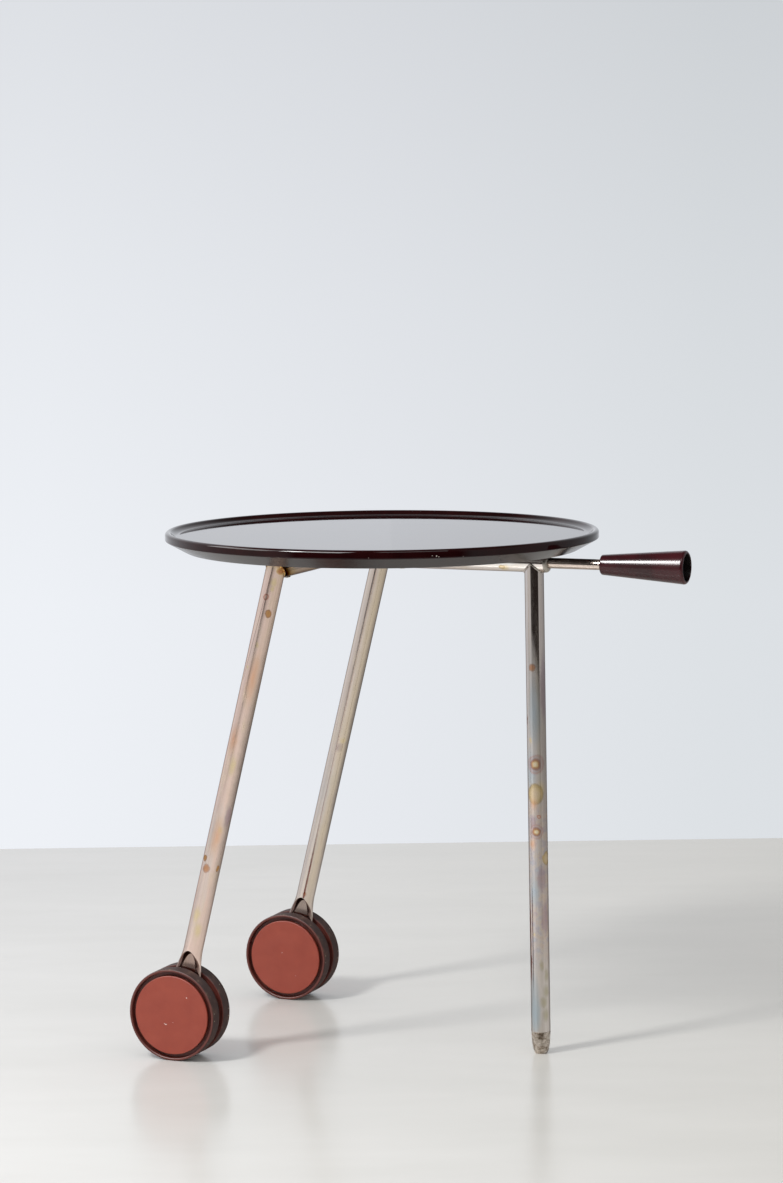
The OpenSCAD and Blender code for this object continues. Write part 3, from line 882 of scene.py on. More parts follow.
    def seamed(self, tree: Tree, local: Node, streaks: Node, seam: Seam) -> Layer:
        """Draws the tube's dark seam.

        Args:
            tree: the material's tree.
            local: the tube's own coordinates.
            streaks: the pattern that breaks the line up.
            seam: the seam.

        Returns:
            The seam's cover and colour.
        """
        parts = add(tree, "SeparateXYZ", {0: local})
        angle = add(tree, "Math", {0: parts.outputs["Y"], 1: parts}, operation="ARCTAN2")
        line = add(tree, "MapRange", {
            "Value": parts.outputs["Z"], "From": (seam.low, seam.top),
            "To": (math.radians(seam.low_turn), math.radians(seam.top_turn))})
        gap = add(tree, "Math", {0: angle, 1: line}, operation="SUBTRACT")
        away = add(tree, "Math", {0: gap}, operation="ABSOLUTE")
        reach = seam.width / self.tube_r
        cover = add(tree, "MapRange", {"Value": away, "From": (reach / 2, reach), "To": (0.85, 0.0)})
        above = add(tree, "Math", {0: parts.outputs["Z"], 1: seam.low}, operation="GREATER_THAN")
        worn = add(tree, "MapRange", {"Value": streaks, "From": (0.3, 0.5), "To": (0.5, 1.0)})
        for part in (above, worn):
            cover = add(tree, "Math", {0: cover, 1: part}, operation="MULTIPLY")
        return cover, "#6E4C48"

    def shaded_and_grimed(self, tree: Tree, local: Node, top: float, face: float, spread: float) -> Layer:
        """Browns the pressed end inside its arch, with painted shade for the recess and with old grease and
        oxide, most on the arch's steep wall.

        Args:
            tree: the material's tree.
            local: the tube's own coordinates.
            top: height of the arch.
            face: distance of the pressed face from the tube's middle.
            spread: the arch's half width 1 mm below its top.

        Returns:
            The cover and colour of the painted shade and grime.
        """
        parts = add(tree, "SeparateXYZ", {0: local})
        thick = add(tree, "Math", {0: parts.outputs["Y"]}, operation="ABSOLUTE")
        above = add(tree, "MapRange", {"Value": thick, "From": (face + 0.15, face + 0.6), "To": (0.52, 0.86)})
        # The arch's outer edge is a parabola
        room = add(tree, "Math", {0: top, 1: parts.outputs["Z"]}, operation="SUBTRACT")
        edge = add(tree, "Math", {0: room, 1: spread ** 2}, operation="MULTIPLY")
        across = add(tree, "Math", {0: parts, 1: 2.0}, operation="POWER")
        gap = add(tree, "Math", {0: edge, 1: across}, operation="SUBTRACT")
        below = add(tree, "MapRange", {"Value": gap, "From": (0.0, 6.0)})
        return add(tree, "Math", {0: above, 1: below}, operation="MULTIPLY"), "#5C3A34"


@dataclass(frozen=True)
class WoodLacquer:
    """Dark red-brown lacquer, sprayed on turned wood and rubbed to a high gloss.

    The eye gets a deep, almost black red that mirrors the room without a grain, and a few pale chips. Left as
    sprayed, with less gloss, it blurs its reflections.
    """

    name: str
    place: Place
    body: str = "#2A0A0B"
    depth: str = "#180405"
    gloss: float = 0.03
    sheen: float = 0.5
    chips: tuple[Chip, ...] = ()

    def material(self) -> Material:
        """Builds the material.

        Returns:
            The material.
        """
        made, tree = new_material(self.name)
        local = self.place.local(tree)
        # The wood shows through as cloudy bands, 40 mm wide
        bands = add(tree, "TexNoise", {"Vector": local, "Scale": 1 / 40, "Detail": 3.0})
        colour = add(tree, "ValToRGB", {"Fac": bands}, stops=((0.35, self.depth), (0.7, self.body)))
        for cover, tint in chipped(tree, local, self.chips, 0.6, 0.9, "#CFC8BC"):
            colour = add(tree, "Mix", {0: cover, UNDER: colour, OVER: tint}, data_type="RGBA")
        # Handling leaves duller clouds about 25 mm across
        handled = add(tree, "TexNoise", {"Vector": local, "Scale": 1 / 25, "Detail": 3.0})
        rough = add(tree, "MapRange", {
            "Value": handled, "From": (0.4, 0.75), "To": (self.gloss, self.gloss + 0.025)})
        # A sprayed coat settles in low waves 14 mm apart
        waves = add(tree, "TexNoise", {"Vector": local, "Scale": 1 / 14, "Detail": 0.0})
        relief = add(tree, "Bump", {"Height": waves, "Distance": 0.006 * MM})
        return end_material(made, {
            "Base Color": colour, "IOR": 1.55, "Specular IOR Level": self.sheen, "Roughness": rough,
            "Normal": relief})


@dataclass(frozen=True)
class MouldedPlastic:
    """Injection-moulded ABS with a matt, spark-eroded face.

    The eye gets a soft red-brown without gloss, a fine grain, and small pale chips. Past the radius
    dirty_from it is a tread, dark with floor dirt, khaki dust in patches and cream specks of grit.
    """

    name: str
    place: Place
    body: str = "#A0432F"
    shade: str = "#983D2B"
    dirty_from: float = 1000.0
    roughness: float = 0.44
    chips: tuple[Chip, ...] = ()

    def material(self) -> Material:
        """Builds the material.

        Returns:
            The material.
        """
        made, tree = new_material(self.name)
        local = self.place.local(tree)
        tone = add(tree, "TexNoise", {"Vector": local, "Scale": 1 / 18, "Detail": 4.0})
        colour = add(tree, "ValToRGB", {"Fac": tone}, stops=((0.3, self.shade), (0.7, self.body)))
        dirt = add(tree, "TexNoise", {"Vector": local, "Scale": 1 / 14, "Detail": 9.0, "Roughness": 0.68})
        flat = add(tree, "VectorMath", {0: local, 1: (1.0, 1.0, 0.0)}, operation="MULTIPLY")
        radius = add(tree, "VectorMath", {0: flat}, operation="LENGTH")
        tread = add(tree, "MapRange", {"Value": radius, "From": (self.dirty_from, self.dirty_from + 0.5)})
        dust = add(tree, "ValToRGB", {"Fac": dirt}, stops=Mark.DIRT.value)
        dusty = add(tree, "Math", {0: tread, 1: dust.outputs["Alpha"]}, operation="MULTIPLY")
        # Grit 0.8 mm across, in some of the 7 mm cells
        cells = add(tree, "TexVoronoi", {"Vector": local, "Scale": 1 / 7})
        grit = add(tree, "MapRange", {"Value": cells, "From": (0.06, 0.11), "To": (0.85, 0.0)})
        some = add(tree, "Math", {0: cells.outputs["Color"], 1: 0.45}, operation="GREATER_THAN")
        for part in (some, tread):
            grit = add(tree, "Math", {0: grit, 1: part}, operation="MULTIPLY")
        layers = [(dusty, dust), (grit, "#CFC3A8")] + chipped(tree, local, self.chips, 0.5, 0.95, "#EADFD8")
        for cover, tint in layers:
            colour = add(tree, "Mix", {0: cover, UNDER: colour, OVER: tint}, data_type="RGBA")
        clean = add(tree, "MapRange", {
            "Value": dirt, "From": (0.3, 0.7), "To": (self.roughness - 0.06, self.roughness + 0.12)})
        rough = add(tree, "Math", {0: tread, 1: 0.36, 2: clean}, operation="MULTIPLY_ADD")
        # Spark-eroded grain 0.9 mm across, coarser than the real one so that it shows
        grain = add(tree, "TexNoise", {"Vector": local, "Scale": 1 / 0.9, "Detail": 2.0})
        relief = add(tree, "Bump", {"Height": grain, "Distance": 0.03 * MM})
        return end_material(made, {"Base Color": colour, "IOR": 1.53, "Roughness": rough, "Normal": relief})


@dataclass(frozen=True)
class TurnedMetal:
    """Metal turned on a lathe and left plain.

    The eye gets fine rings round the axis, dull where dirt has settled between them.
    """

    name: str
    place: Place
    body: str
    dirt: str
    roughness: float = 0.28
    ring: float = 0.5
    grime: float = 0.7

    def material(self) -> Material:
        """Builds the material.

        Returns:
            The material.
        """
        made, tree = new_material(self.name)
        local = self.place.local(tree)
        rings = add(tree, "TexWave", {
            "Vector": local, "Scale": 0.05 * math.tau / self.ring, "Distortion": 0.6, "Detail": 1.0},
            wave_type="RINGS", rings_direction="Z")
        dirt = add(tree, "TexNoise", {"Vector": local, "Scale": 1 / 5, "Detail": 5.0, "Roughness": 0.65})
        share = add(tree, "MapRange", {"Value": dirt, "From": (0.45, 0.75), "To": (0.0, self.grime)})
        colour = add(tree, "Mix", {0: share, UNDER: self.body, OVER: self.dirt}, data_type="RGBA")
        rough = add(tree, "MapRange", {
            "Value": dirt, "From": (0.4, 0.75), "To": (self.roughness, self.roughness + 0.2)})
        relief = add(tree, "Bump", {"Height": rings, "Distance": 0.008 * MM})
        return end_material(made,
                            {"Base Color": colour, "Metallic": 1.0, "Roughness": rough, "Normal": relief})


@dataclass(frozen=True)
class RoughMetal:
    """Metal left as it came from the fire or the floor: brazing under flux, or a knocked bare steel tip.

    The eye gets a rough surface in patches, from dark pits through a dull tint to bright rubbed spots.
    """

    name: str
    tints: tuple[tuple[float, str, float], ...]
    patch: float = 4.0
    pore: float = 0.8
    depth: float = 0.06
    roughness: tuple[float, float] = (0.5, 0.16)

    def material(self) -> Material:
        """Builds the material.

        Returns:
            The material.
        """
        made, tree = new_material(self.name)
        local = Place().local(tree)
        patches = add(tree, "TexNoise", {
            "Vector": local, "Scale": 1 / self.patch, "Detail": 5.0, "Roughness": 0.65})
        colour = add(tree, "ValToRGB", {"Fac": patches}, stops=self.tints)
        rough = add(tree, "MapRange", {"Value": patches, "From": (0.35, 0.7), "To": self.roughness})
        pores = add(tree, "TexNoise", {"Vector": local, "Scale": 1 / self.pore, "Detail": 3.0})
        relief = add(tree, "Bump", {"Height": pores, "Distance": self.depth * MM})
        return end_material(made,
                            {"Base Color": colour, "Metallic": 1.0, "Roughness": rough, "Normal": relief})


# sub-assemblies


@dataclass
class SubAssembly:
    """What every sub-assembly is built with: the shared places, and the trees that make its pieces."""

    layout: Layout
    lathe: Lathe
    scatter: Scatter
    braze: Braze


@dataclass
class Tray(SubAssembly):
    """The turned tray with its rolled rim, and what holds it down."""

    wall_h: float = 9.5
    bevel_w: float = 23.0
    rim_r: float = 4.0
    well_depth: float = 5.5
    cove_w: float = 12.0
    wall_edge: float = 1.5
    base_edge: float = 1.5
    insert_r: float = 4.25
    insert_h: float = 12.0
    ring_count: int = 5
    ring_pitch: float = 2.0
    ring_depth: float = 0.4
    screw_track: float = 260.0
    spine_screw_x: float = 25.0
    head_r: float = 4.8
    screw_r: float = 2.5
    dome_h: float = 1.4
    dome_steps: int = 8
    slot_w: float = 1.3
    slot_depth: float = 1.1
    sprayed_over: float = 0.9
    crest_band: float = 1.2
    cove_foot: float = 0.3

    def outline(self) -> Outline:
        """Half outline of the tray, from the middle of its well round the rim to the middle of its base.

        Returns:
            The outline.
        """
        at = self.layout
        height = at.rim_z - at.base_z
        crest_r = at.tray_r - self.rim_r
        slope = 2 * math.atan(self.well_depth / self.cove_w)
        cove_r = (self.cove_w ** 2 + self.well_depth ** 2) / (2 * self.well_depth) - self.rim_r
        foot_r = crest_r - self.cove_w + cove_r * math.tan(slope / 2)
        lip_r = crest_r - self.rim_r * math.tan(slope / 2)
        return Outline((
            (0, height - self.well_depth, 0), (foot_r, height - self.well_depth, cove_r),
            (lip_r, height, self.rim_r), (at.tray_r, height, self.rim_r),
            (at.tray_r, height - self.wall_h, self.wall_edge), (at.tray_r - self.bevel_w, 0, self.base_edge),
            (0, 0, 0)), step=5.0)

    def screw_places(self, z: float) -> list[Spot]:
        """The three places where the tray is screwed down, at a height z."""
        at = self.layout
        half = self.screw_track / 2
        return [(at.cross_x, -half, z), (at.cross_x, half, z), (at.tray_x + self.spine_screw_x, 0, z)]

    def chips(self) -> tuple[Chip, ...]:
        """Small chips on the rim's wall: place about the tray's axis and radius.

        Returns:
            The chips.
        """
        spots = ((-54.0, 14.8, 0.9), (-53.4, 13.9, 0.6), (-55.1, 15.2, 0.45), (-47.0, 13.2, 0.35),
                 (-71.0, 14.0, 0.3))
        reach = self.layout.tray_r
        return tuple((reach * math.cos(math.radians(turn)), reach * math.sin(math.radians(turn)), z, radius)
                     for turn, z, radius in spots)

    def build(self) -> None:
        """Builds and dresses the tray, its inserts and its screws."""
        at = self.layout
        place = Place(at.tray_x, 0, at.base_z)
        lacquer = WoodLacquer("lacquered_turned_wood", place, chips=self.chips()).material()
        dish = self.lathe.turn("tray_dish", self.outline(), place, lacquer, segments=288)
        hole = Outline.ring(0, self.insert_r + SEAT_GAP, -1, self.insert_h + SEAT_GAP)
        places = self.screw_places(at.base_z)
        carve(dish, [self.lathe.turn("hole", hole, Place(*p), segments=48) for p in places])
        settle(dish, Slot.WOOD, "tray", material=lacquer)
        sprayed = WoodLacquer("lacquer_left_as_sprayed", place, body="#1E0C0C", gloss=0.2,
                              sheen=0.28).material()
        wall = WoodLacquer("lacquered_rim_wall", place, chips=self.chips(), body="#260A0B",
                           sheen=0.22).material()
        low, crest = at.rim_z - self.wall_h - self.sprayed_over, at.rim_z - self.crest_band

        def below_crest(spot: Vector) -> bool:
            """Whether a spot lies on the rim's wall or in its cove."""
            outside = math.hypot(spot.x - place.x, spot.y) > at.tray_r - self.crest_band
            return low <= spot.z < crest and (outside or spot.z > at.rim_z - self.well_depth + self.cove_foot)

        dress(dish, sprayed, lambda spot: spot.z < low)
        dress(dish, wall, below_crest)
        self.build_inserts()
        self.build_screws()

    def build_inserts(self) -> None:
        """Builds the threaded inserts, with grip rings round them."""
        bore, core = self.screw_r + SEAT_GAP, self.insert_r - self.ring_depth
        rings = []
        for i in range(self.ring_count):
            z = self.ring_pitch * (i + 0.75)
            rings += [(r, z + self.ring_pitch * share, 0.1) for r, share in (
                (self.insert_r, 0), (core, 0.25), (core, 0.5), (self.insert_r, 0.75))]
        outline = Outline(((bore, 0, 0), (self.insert_r, 0, 0.3), *rings, (self.insert_r, self.insert_h, 0.4),
                           (bore, self.insert_h, 0)), closed=True, hold=0.1)
        one = self.lathe.turn("insert", outline, Place(), segments=48)
        brass = TurnedMetal("turned_brass", Place(), body="#D9B56A", dirt="#9A7A40").material()
        inserts = self.scatter.spread("insert_set", one, self.screw_places(self.layout.base_z), brass)
        settle(inserts, Slot.BRASS, "tray_inserts")

    def build_screws(self) -> None:
        """Builds the raised countersunk screws, slotted from below."""
        at = self.layout
        shank = 2 * at.tube_r + SEAT_GAP + self.insert_h - 1.0
        dome_r = (self.head_r ** 2 + self.dome_h ** 2) / (2 * self.dome_h)
        tilts = [math.asin(self.head_r / dome_r) * i / self.dome_steps for i in range(self.dome_steps + 1)]
        dome = [(dome_r * math.sin(t), dome_r - self.dome_h - dome_r * math.cos(t), 0) for t in tilts]
        outline = Outline((*dome, (self.screw_r, self.head_r - self.screw_r, 0.3),
                           (self.screw_r, shank, 0.5), (0, shank, 0)), hold=0.2)
        one = self.lathe.turn("screw", outline, Place(), segments=48)
        reach, half = 1.25 * self.head_r, self.slot_w / 2
        carve(one, [block("slot", (-reach, -half, -3), (reach, half, self.slot_depth - self.dome_h))])
        steel = TurnedMetal("zinc_plated_screw_steel", Place(), body="#C9C4BB", dirt="#8E867B").material()
        screws = self.scatter.spread("screw_set", one, self.screw_places(at.frame_z - at.tube_r), steel,
                                     turn=50)
        settle(screws, Slot.STEEL, "tray_screws")


def sides_of(radius: float, count: int) -> tuple[np.ndarray, np.ndarray]:
    """Points round a circle.

    Args:
        radius: its radius.
        count: how many points it has.

    Returns:
        Their x and y.
    """
    turns = np.arange(count) * math.tau / count
    return radius * np.cos(turns), radius * np.sin(turns)


def loft(name: str, rings: Sequence[np.ndarray], closed: bool = False) -> Thing:
    """Joins rings of points into a skin.

    Args:
        name: the object's name.
        rings: rings of as many points each, in mm.
        closed: whether the last ring joins the first one.

    Returns:
        The skin.
    """
    sides = len(rings[0])
    faces = []
    last = len(rings) if closed else len(rings) - 1
    for i in range(last):
        low, high = i * sides, (i + 1) % len(rings) * sides
        faces += [(low + k, low + (k + 1) % sides, high + (k + 1) % sides, high + k) for k in range(sides)]
    return mesh_object(name, np.concatenate(rings), faces)


@dataclass
class PipeFrame(SubAssembly):
    """The frame's straight tubes: spine, cross tube and front leg, with what ends and joins them."""

    screws: Sequence[Spot]
    wall: float = 1.5
    leg_rake: float = 0.7
    spine_over: float = 14.0
    foot_h: float = 26.0
    foot_tip_r: float = 6.75
    foot_belly: tuple[Corner, ...] = ((8.9, 4.5, 3.0), (10.2, 11.0, 8.0))
    pit_step: float = 0.7
    spigot: float = 18.0
    bush_head: float = 4.8
    bush_edge: float = 4.0
    bush_spigot: float = 14.0
    rod_r: float = 6.0
    guide_l: float = 12.0
    hole_r: float = 2.8
    cone_r: float = 5.1
    hold: float = 0.35
    bead_sides: int = 120
    bead_in: float = 0.55
    bead_under: float = 0.1
    sides: int = 144
    steps: int = 6

    def __post_init__(self) -> None:
        """Works out the places of the tubes."""
        at = self.layout
        self.bore_r = at.tube_r - self.wall
        self.front_x = at.spine_end - self.spine_over
        lean = math.radians(self.leg_rake)
        self.leg_place = Place(self.front_x + at.frame_z * math.tan(lean), 0, 0, (0, -self.leg_rake, 0))
        self.leg_l = at.frame_z / math.cos(lean)
        self.cross_place = Place(at.cross_x, 0, at.frame_z, (-90, 0, 0))
        self.spine_place = Place(at.cross_x, 0, at.frame_z, (0, 90, 0))

    def pipe(self, name: str, place: Place, start: Callable[..., np.ndarray],
             end: Callable[..., np.ndarray]) -> Thing:
        """Makes a tube whose ends are cut to fit what it meets.

        Args:
            name: the tube's name.
            place: its axis.
            start: gives the height of the lower end at each x and y.
            end: gives the height of the upper end at each x and y.

        Returns:
            The tube.
        """
        hold = self.hold
        outer, inner = sides_of(self.layout.tube_r, self.sides), sides_of(self.bore_r, self.sides)
        rings = []
        for (x, y), order in ((outer, 1), (inner, -1)):
            low, high = start(x, y), end(x, y)
            heights = [low, low + hold] + [low + (high - low) * i / self.steps for i in range(1, self.steps)]
            heights += [high - hold, high]
            rings += [np.stack((x, y, z), axis=1) for z in heights[::order]]
        made = loft(name, rings, closed=True)
        made.data.transform(place.matrix())
        return made

    def build(self) -> None:
        """Builds and dresses the tubes and what closes their ends."""
        at = self.layout
        saddle_r = at.tube_r + SEAT_GAP
        ends = at.leg_y - SEAT_GAP * math.sqrt(0.5)
        cross = self.pipe("cross_pipe", self.cross_place, lambda x, y: y - ends, lambda x, y: ends - y)
        spine_l = at.spine_end - at.cross_x
        spine = self.pipe("spine_pipe", self.spine_place, lambda x, y: np.sqrt(saddle_r ** 2 - x ** 2),
                          lambda x, y: spine_l + 0 * x)
        tilt = math.tan(math.radians(self.leg_rake))
        leg = self.pipe("front_leg_pipe", self.leg_place, lambda x, y: self.foot_h + 0 * x,
                        lambda x, y: self.leg_l - np.sqrt(saddle_r ** 2 - y ** 2) - x * tilt)
        for pipe, places, node, finish in (
                (cross, self.screws[:2], "cross_tube", self.cross_finish()),
                (spine, self.screws[2:], "spine_tube", self.spine_finish()),
                (leg, (), "front_leg", self.leg_finish())):
            carve(pipe, [self.screw_hole(p) for p in places])
            settle(pipe, Slot.TUBE, node, material=finish.material(), sharp=30)
        self.build_foot()
        self.build_bush()
        self.lay_brazing()

    def screw_hole(self, place: Spot) -> Thing:
        """Makes a screw's countersunk hole through a tube, as a solid to cut out.

        Args:
            place: where the screw's head lies.

        Returns:
            The solid.
        """
        low, tall = -2, 2 * self.layout.tube_r + 2
        outline = Outline(((0, low, 0), (self.cone_r - low, low, 0),
                           (self.hole_r, self.cone_r - self.hole_r, 0), (self.hole_r, tall, 0), (0, tall, 0)))
        return self.lathe.turn("hole", outline, Place(*place), segments=48)

    def cross_finish(self) -> NickelPlate:
        """Finish of the cross tube, straw coloured near its brazed ends, dark with soot and painted shade
        right beside them.

        Returns:
            The finish.
        """
        reach = self.layout.leg_y
        # The dark soot band is also painted shade, where the tray shades the tube's ends
        heat = tuple((mark, side * reach, -side, width) for side in (-1, 1)
                     for mark, width in ((Mark.HEAT, 40.0), (Mark.SOOT_AND_SHADE, 15.0)))
        return NickelPlate("nickel_plate_cross_tube", self.cross_place, silver="#E6DCD4", film="#EFDACB",
                           heat=heat)

    def spine_finish(self) -> NickelPlate:
        """Finish of the spine, the cleanest tube, with one gold patch.

        Returns:
            The finish.
        """
        stains = (Stain(Mark.STRAW, 217, -54, 6.0), Stain(Mark.GOLD_PATCH, 214, -62, 3.4),
                  Stain(Mark.STRAW, 96, 110, 4.0))
        return NickelPlate("nickel_plate_spine", self.spine_place, silver="#FAF8F6", film="#F8EEE8",
                           deep="#DACBC2", straw="#EFDFC4", stains=stains,
                           heat=((Mark.HEAT, 11.0, 0.0, 16.0),))

    def leg_finish(self) -> NickelPlate:
        """Finish of the front leg, silver above and stained below.

        Returns:
            The finish.
        """
        marks = (
            (Mark.BLUE, 395, -84, 9.0, 5.0), (Mark.BLUE, 330, -110, 8.0, 4.0),
            (Mark.BLUE, 60, -110, 8.5, 5.0), (Mark.BLUE, 190, -100, 7.0, 3.0),
            (Mark.MAUVE, 425, -18, 6.0, 8.0), (Mark.MAUVE, 205, -50, 7.0, 2.5),
            (Mark.MAUVE, 270, -100, 5.0, 2.0), (Mark.MAUVE, 160, -30, 6.0, 4.0),
            (Mark.COPPER, 447.8, -92, 5.2, 1.0), (Mark.STRAW, 365, -108, 2.8, 1.4),
            (Mark.GOLD_RING, 337.2, -79, 11.4, 1.1), (Mark.STRAW, 309, -50, 7.5, 1.4),
            (Mark.GOLD_PATCH, 303, -84, 11.0, 1.2), (Mark.GLOW, 291, -95, 7.0, 1.4),
            (Mark.OPEN_RING, 276.7, -63, 3.0, 1.0), (Mark.GOLD_RING, 259.3, -80, 9.0, 1.1),
            (Mark.GLOW, 245, -104, 6.0, 1.6), (Mark.GOLD_PATCH, 228, -14, 6.4, 1.4),
            (Mark.RUST, 387, -142, 2.0, 4.0), (Mark.RUST, 150, -138, 1.9, 16.0),
            (Mark.RUST, 108, -134, 2.2, 14.0), (Mark.OLIVE, 92, -28, 4.4, 2.2),
            (Mark.OLIVE, 74, -32, 5.2, 1.8), (Mark.OLIVE, 61, -50, 5.0, 1.7),
            (Mark.OLIVE, 46, -36, 5.2, 2.0), (Mark.OLIVE, 104, -60, 3.4, 2.4),
            (Mark.STRAW, 140, -100, 1.8, 1.6), (Mark.BLUE, 45, -105, 9.0, 3.0),
            (Mark.GOLD_PATCH, 330, 60, 6.0, 1.0), (Mark.COPPER, 210, 110, 5.0, 1.2),
            (Mark.STRAW, 420, 150, 6.0, 1.5))
        return NickelPlate(
            "nickel_plate_front_leg", self.leg_place, silver="#D2D5D8", film="#DDD5D0", deep="#AAA09D",
            straw="#DCD2C5", mottle=(110, 290), gloss=(0.05, 0.12), stains=tuple(Stain(*m) for m in marks))

    def build_foot(self) -> None:
        """Builds the blunt tapered tip, with a spigot inside the leg and its sole level with the floor."""
        tip = RoughMetal("knocked_bare_steel_tip", (
            (0.34, "#5C4F45"), (0.42, "#8C7E70"), (0.52, "#B8ADA2"), (0.7, "#E6DCD2")),
            patch=7.0, pore=1.6, depth=0.12, roughness=(0.42, 0.18)).material()
        top_r = self.layout.tube_r
        outline = Outline((
            (0, -0.5, 0), (self.foot_tip_r, -0.5, 1.2), *self.foot_belly,
            (top_r, self.foot_h - SEAT_GAP, 0.4),
            (self.bore_r - SEAT_GAP, self.foot_h - SEAT_GAP, 0.2),
            (self.bore_r - SEAT_GAP, self.foot_h + self.spigot, 0.6), (0, self.foot_h + self.spigot, 0)),
            hold=0.6)
        rings = Outline(self.denser(outline.points(), self.pit_step), hold=10)
        foot = self.lathe.turn("foot_tip", rings, self.leg_place, tip, segments=112, pit_depth=0.7,
                               pit_size=2.6)
        for vertex in foot.data.vertices:
            vertex.co.z = max(vertex.co.z, 0)
        settle(foot, Slot.TIP, "front_foot", sharp=50)

    def denser(self, points: Points, step: float) -> tuple[Corner, ...]:
        """Splits an outline's long runs, so that its surface can be pitted.

        Args:
            points: the outline's points.
            step: the longest run that stays, in mm.

        Returns:
            The corners of the split outline.
        """
        corners = [(*points[0], 0.0)]
        for (r0, z0), (r1, z1) in zip(points, points[1:]):
            parts = max(1, math.ceil(math.hypot(r1 - r0, z1 - z0) / step))
            steps = range(1, parts + 1)
            corners += [(r0 + (r1 - r0) * i / parts, z0 + (z1 - z0) * i / parts, 0.0) for i in steps]
        return tuple(corners)

    def build_bush(self) -> None:
        """Builds the rounded bush at the spine's end and the rod's guide inside the spine."""
        at = self.layout
        place = Place(at.spine_end, 0, at.frame_z, (0, 90, 0))
        dull = TurnedMetal("turned_dull_steel_bush", place, body="#C6C0B8", dirt="#948A80",
                           roughness=0.34).material()
        plug_r, bore_r = self.bore_r - SEAT_GAP, self.rod_r + SEAT_GAP
        outline = Outline((
            (bore_r, -self.bush_spigot, 0.2), (plug_r, -self.bush_spigot, 0.5), (plug_r, SEAT_GAP, 0),
            (at.tube_r, SEAT_GAP, 0.3), (at.tube_r, self.bush_head, self.bush_edge),
            (bore_r, self.bush_head, 0.4)), closed=True, hold=0.2)
        bush = self.lathe.turn("bush_plug", outline, place, dull, segments=160)
        settle(bush, Slot.STEEL, "spine_end_bush")
        guide_place = Place(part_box("rod_guide")[0].x / MM, 0, at.frame_z, (0, 90, 0))
        ring = self.lathe.turn("guide_ring", Outline.ring(bore_r, plug_r, 0, self.guide_l, 0.3, 0.3, 0.2),
                               guide_place, dull)
        settle(ring, Slot.STEEL, "rod_guide")

    def lay_brazing(self) -> None:
        """Lays the beads at the saddle, the tee and the two mitres."""
        at = self.layout
        bright = RoughMetal("silver_solder_fillet", (
            (0.36, "#4A4440"), (0.46, "#A39A92"), (0.58, "#D2CCC6"), (0.72, "#F4F1EC"))).material()
        gold = RoughMetal("brass_braze_heat_tinted", (
            (0.33, "#7A4A2C"), (0.43, "#C27A44"), (0.53, "#E2B86A"), (0.72, "#F4E2B6"))).material()
        saddle_r = at.tube_r + SEAT_GAP
        x, y = sides_of(at.tube_r, self.bead_sides)
        front = np.stack((self.front_x + x, y, at.frame_z - np.sqrt(saddle_r ** 2 - y ** 2)), axis=1)
        tee = np.stack((at.cross_x + np.sqrt(saddle_r ** 2 - x ** 2), y, at.frame_z + x), axis=1)
        beads = [("front_leg", front, 1.1, bright), ("tee", tee, 1.0, gold)]
        mitre_r = at.tube_r - self.bead_in
        for name, side in (("left", -1), ("right", 1)):
            leg = RearLeg(at, self.lathe, self.scatter, self.braze, side)
            mitre = [leg.top_point(a, b) for a, b in zip(*sides_of(mitre_r, self.bead_sides))]
            beads.append(("mitre_" + name, mitre, 1.35, gold))
        for name, seam, radius, metal in beads:
            bead = self.braze.lay("braze_" + name, seam, radius, at.base_z - self.bead_under, metal)
            settle(bead, Slot.TUBE, sharp=80)


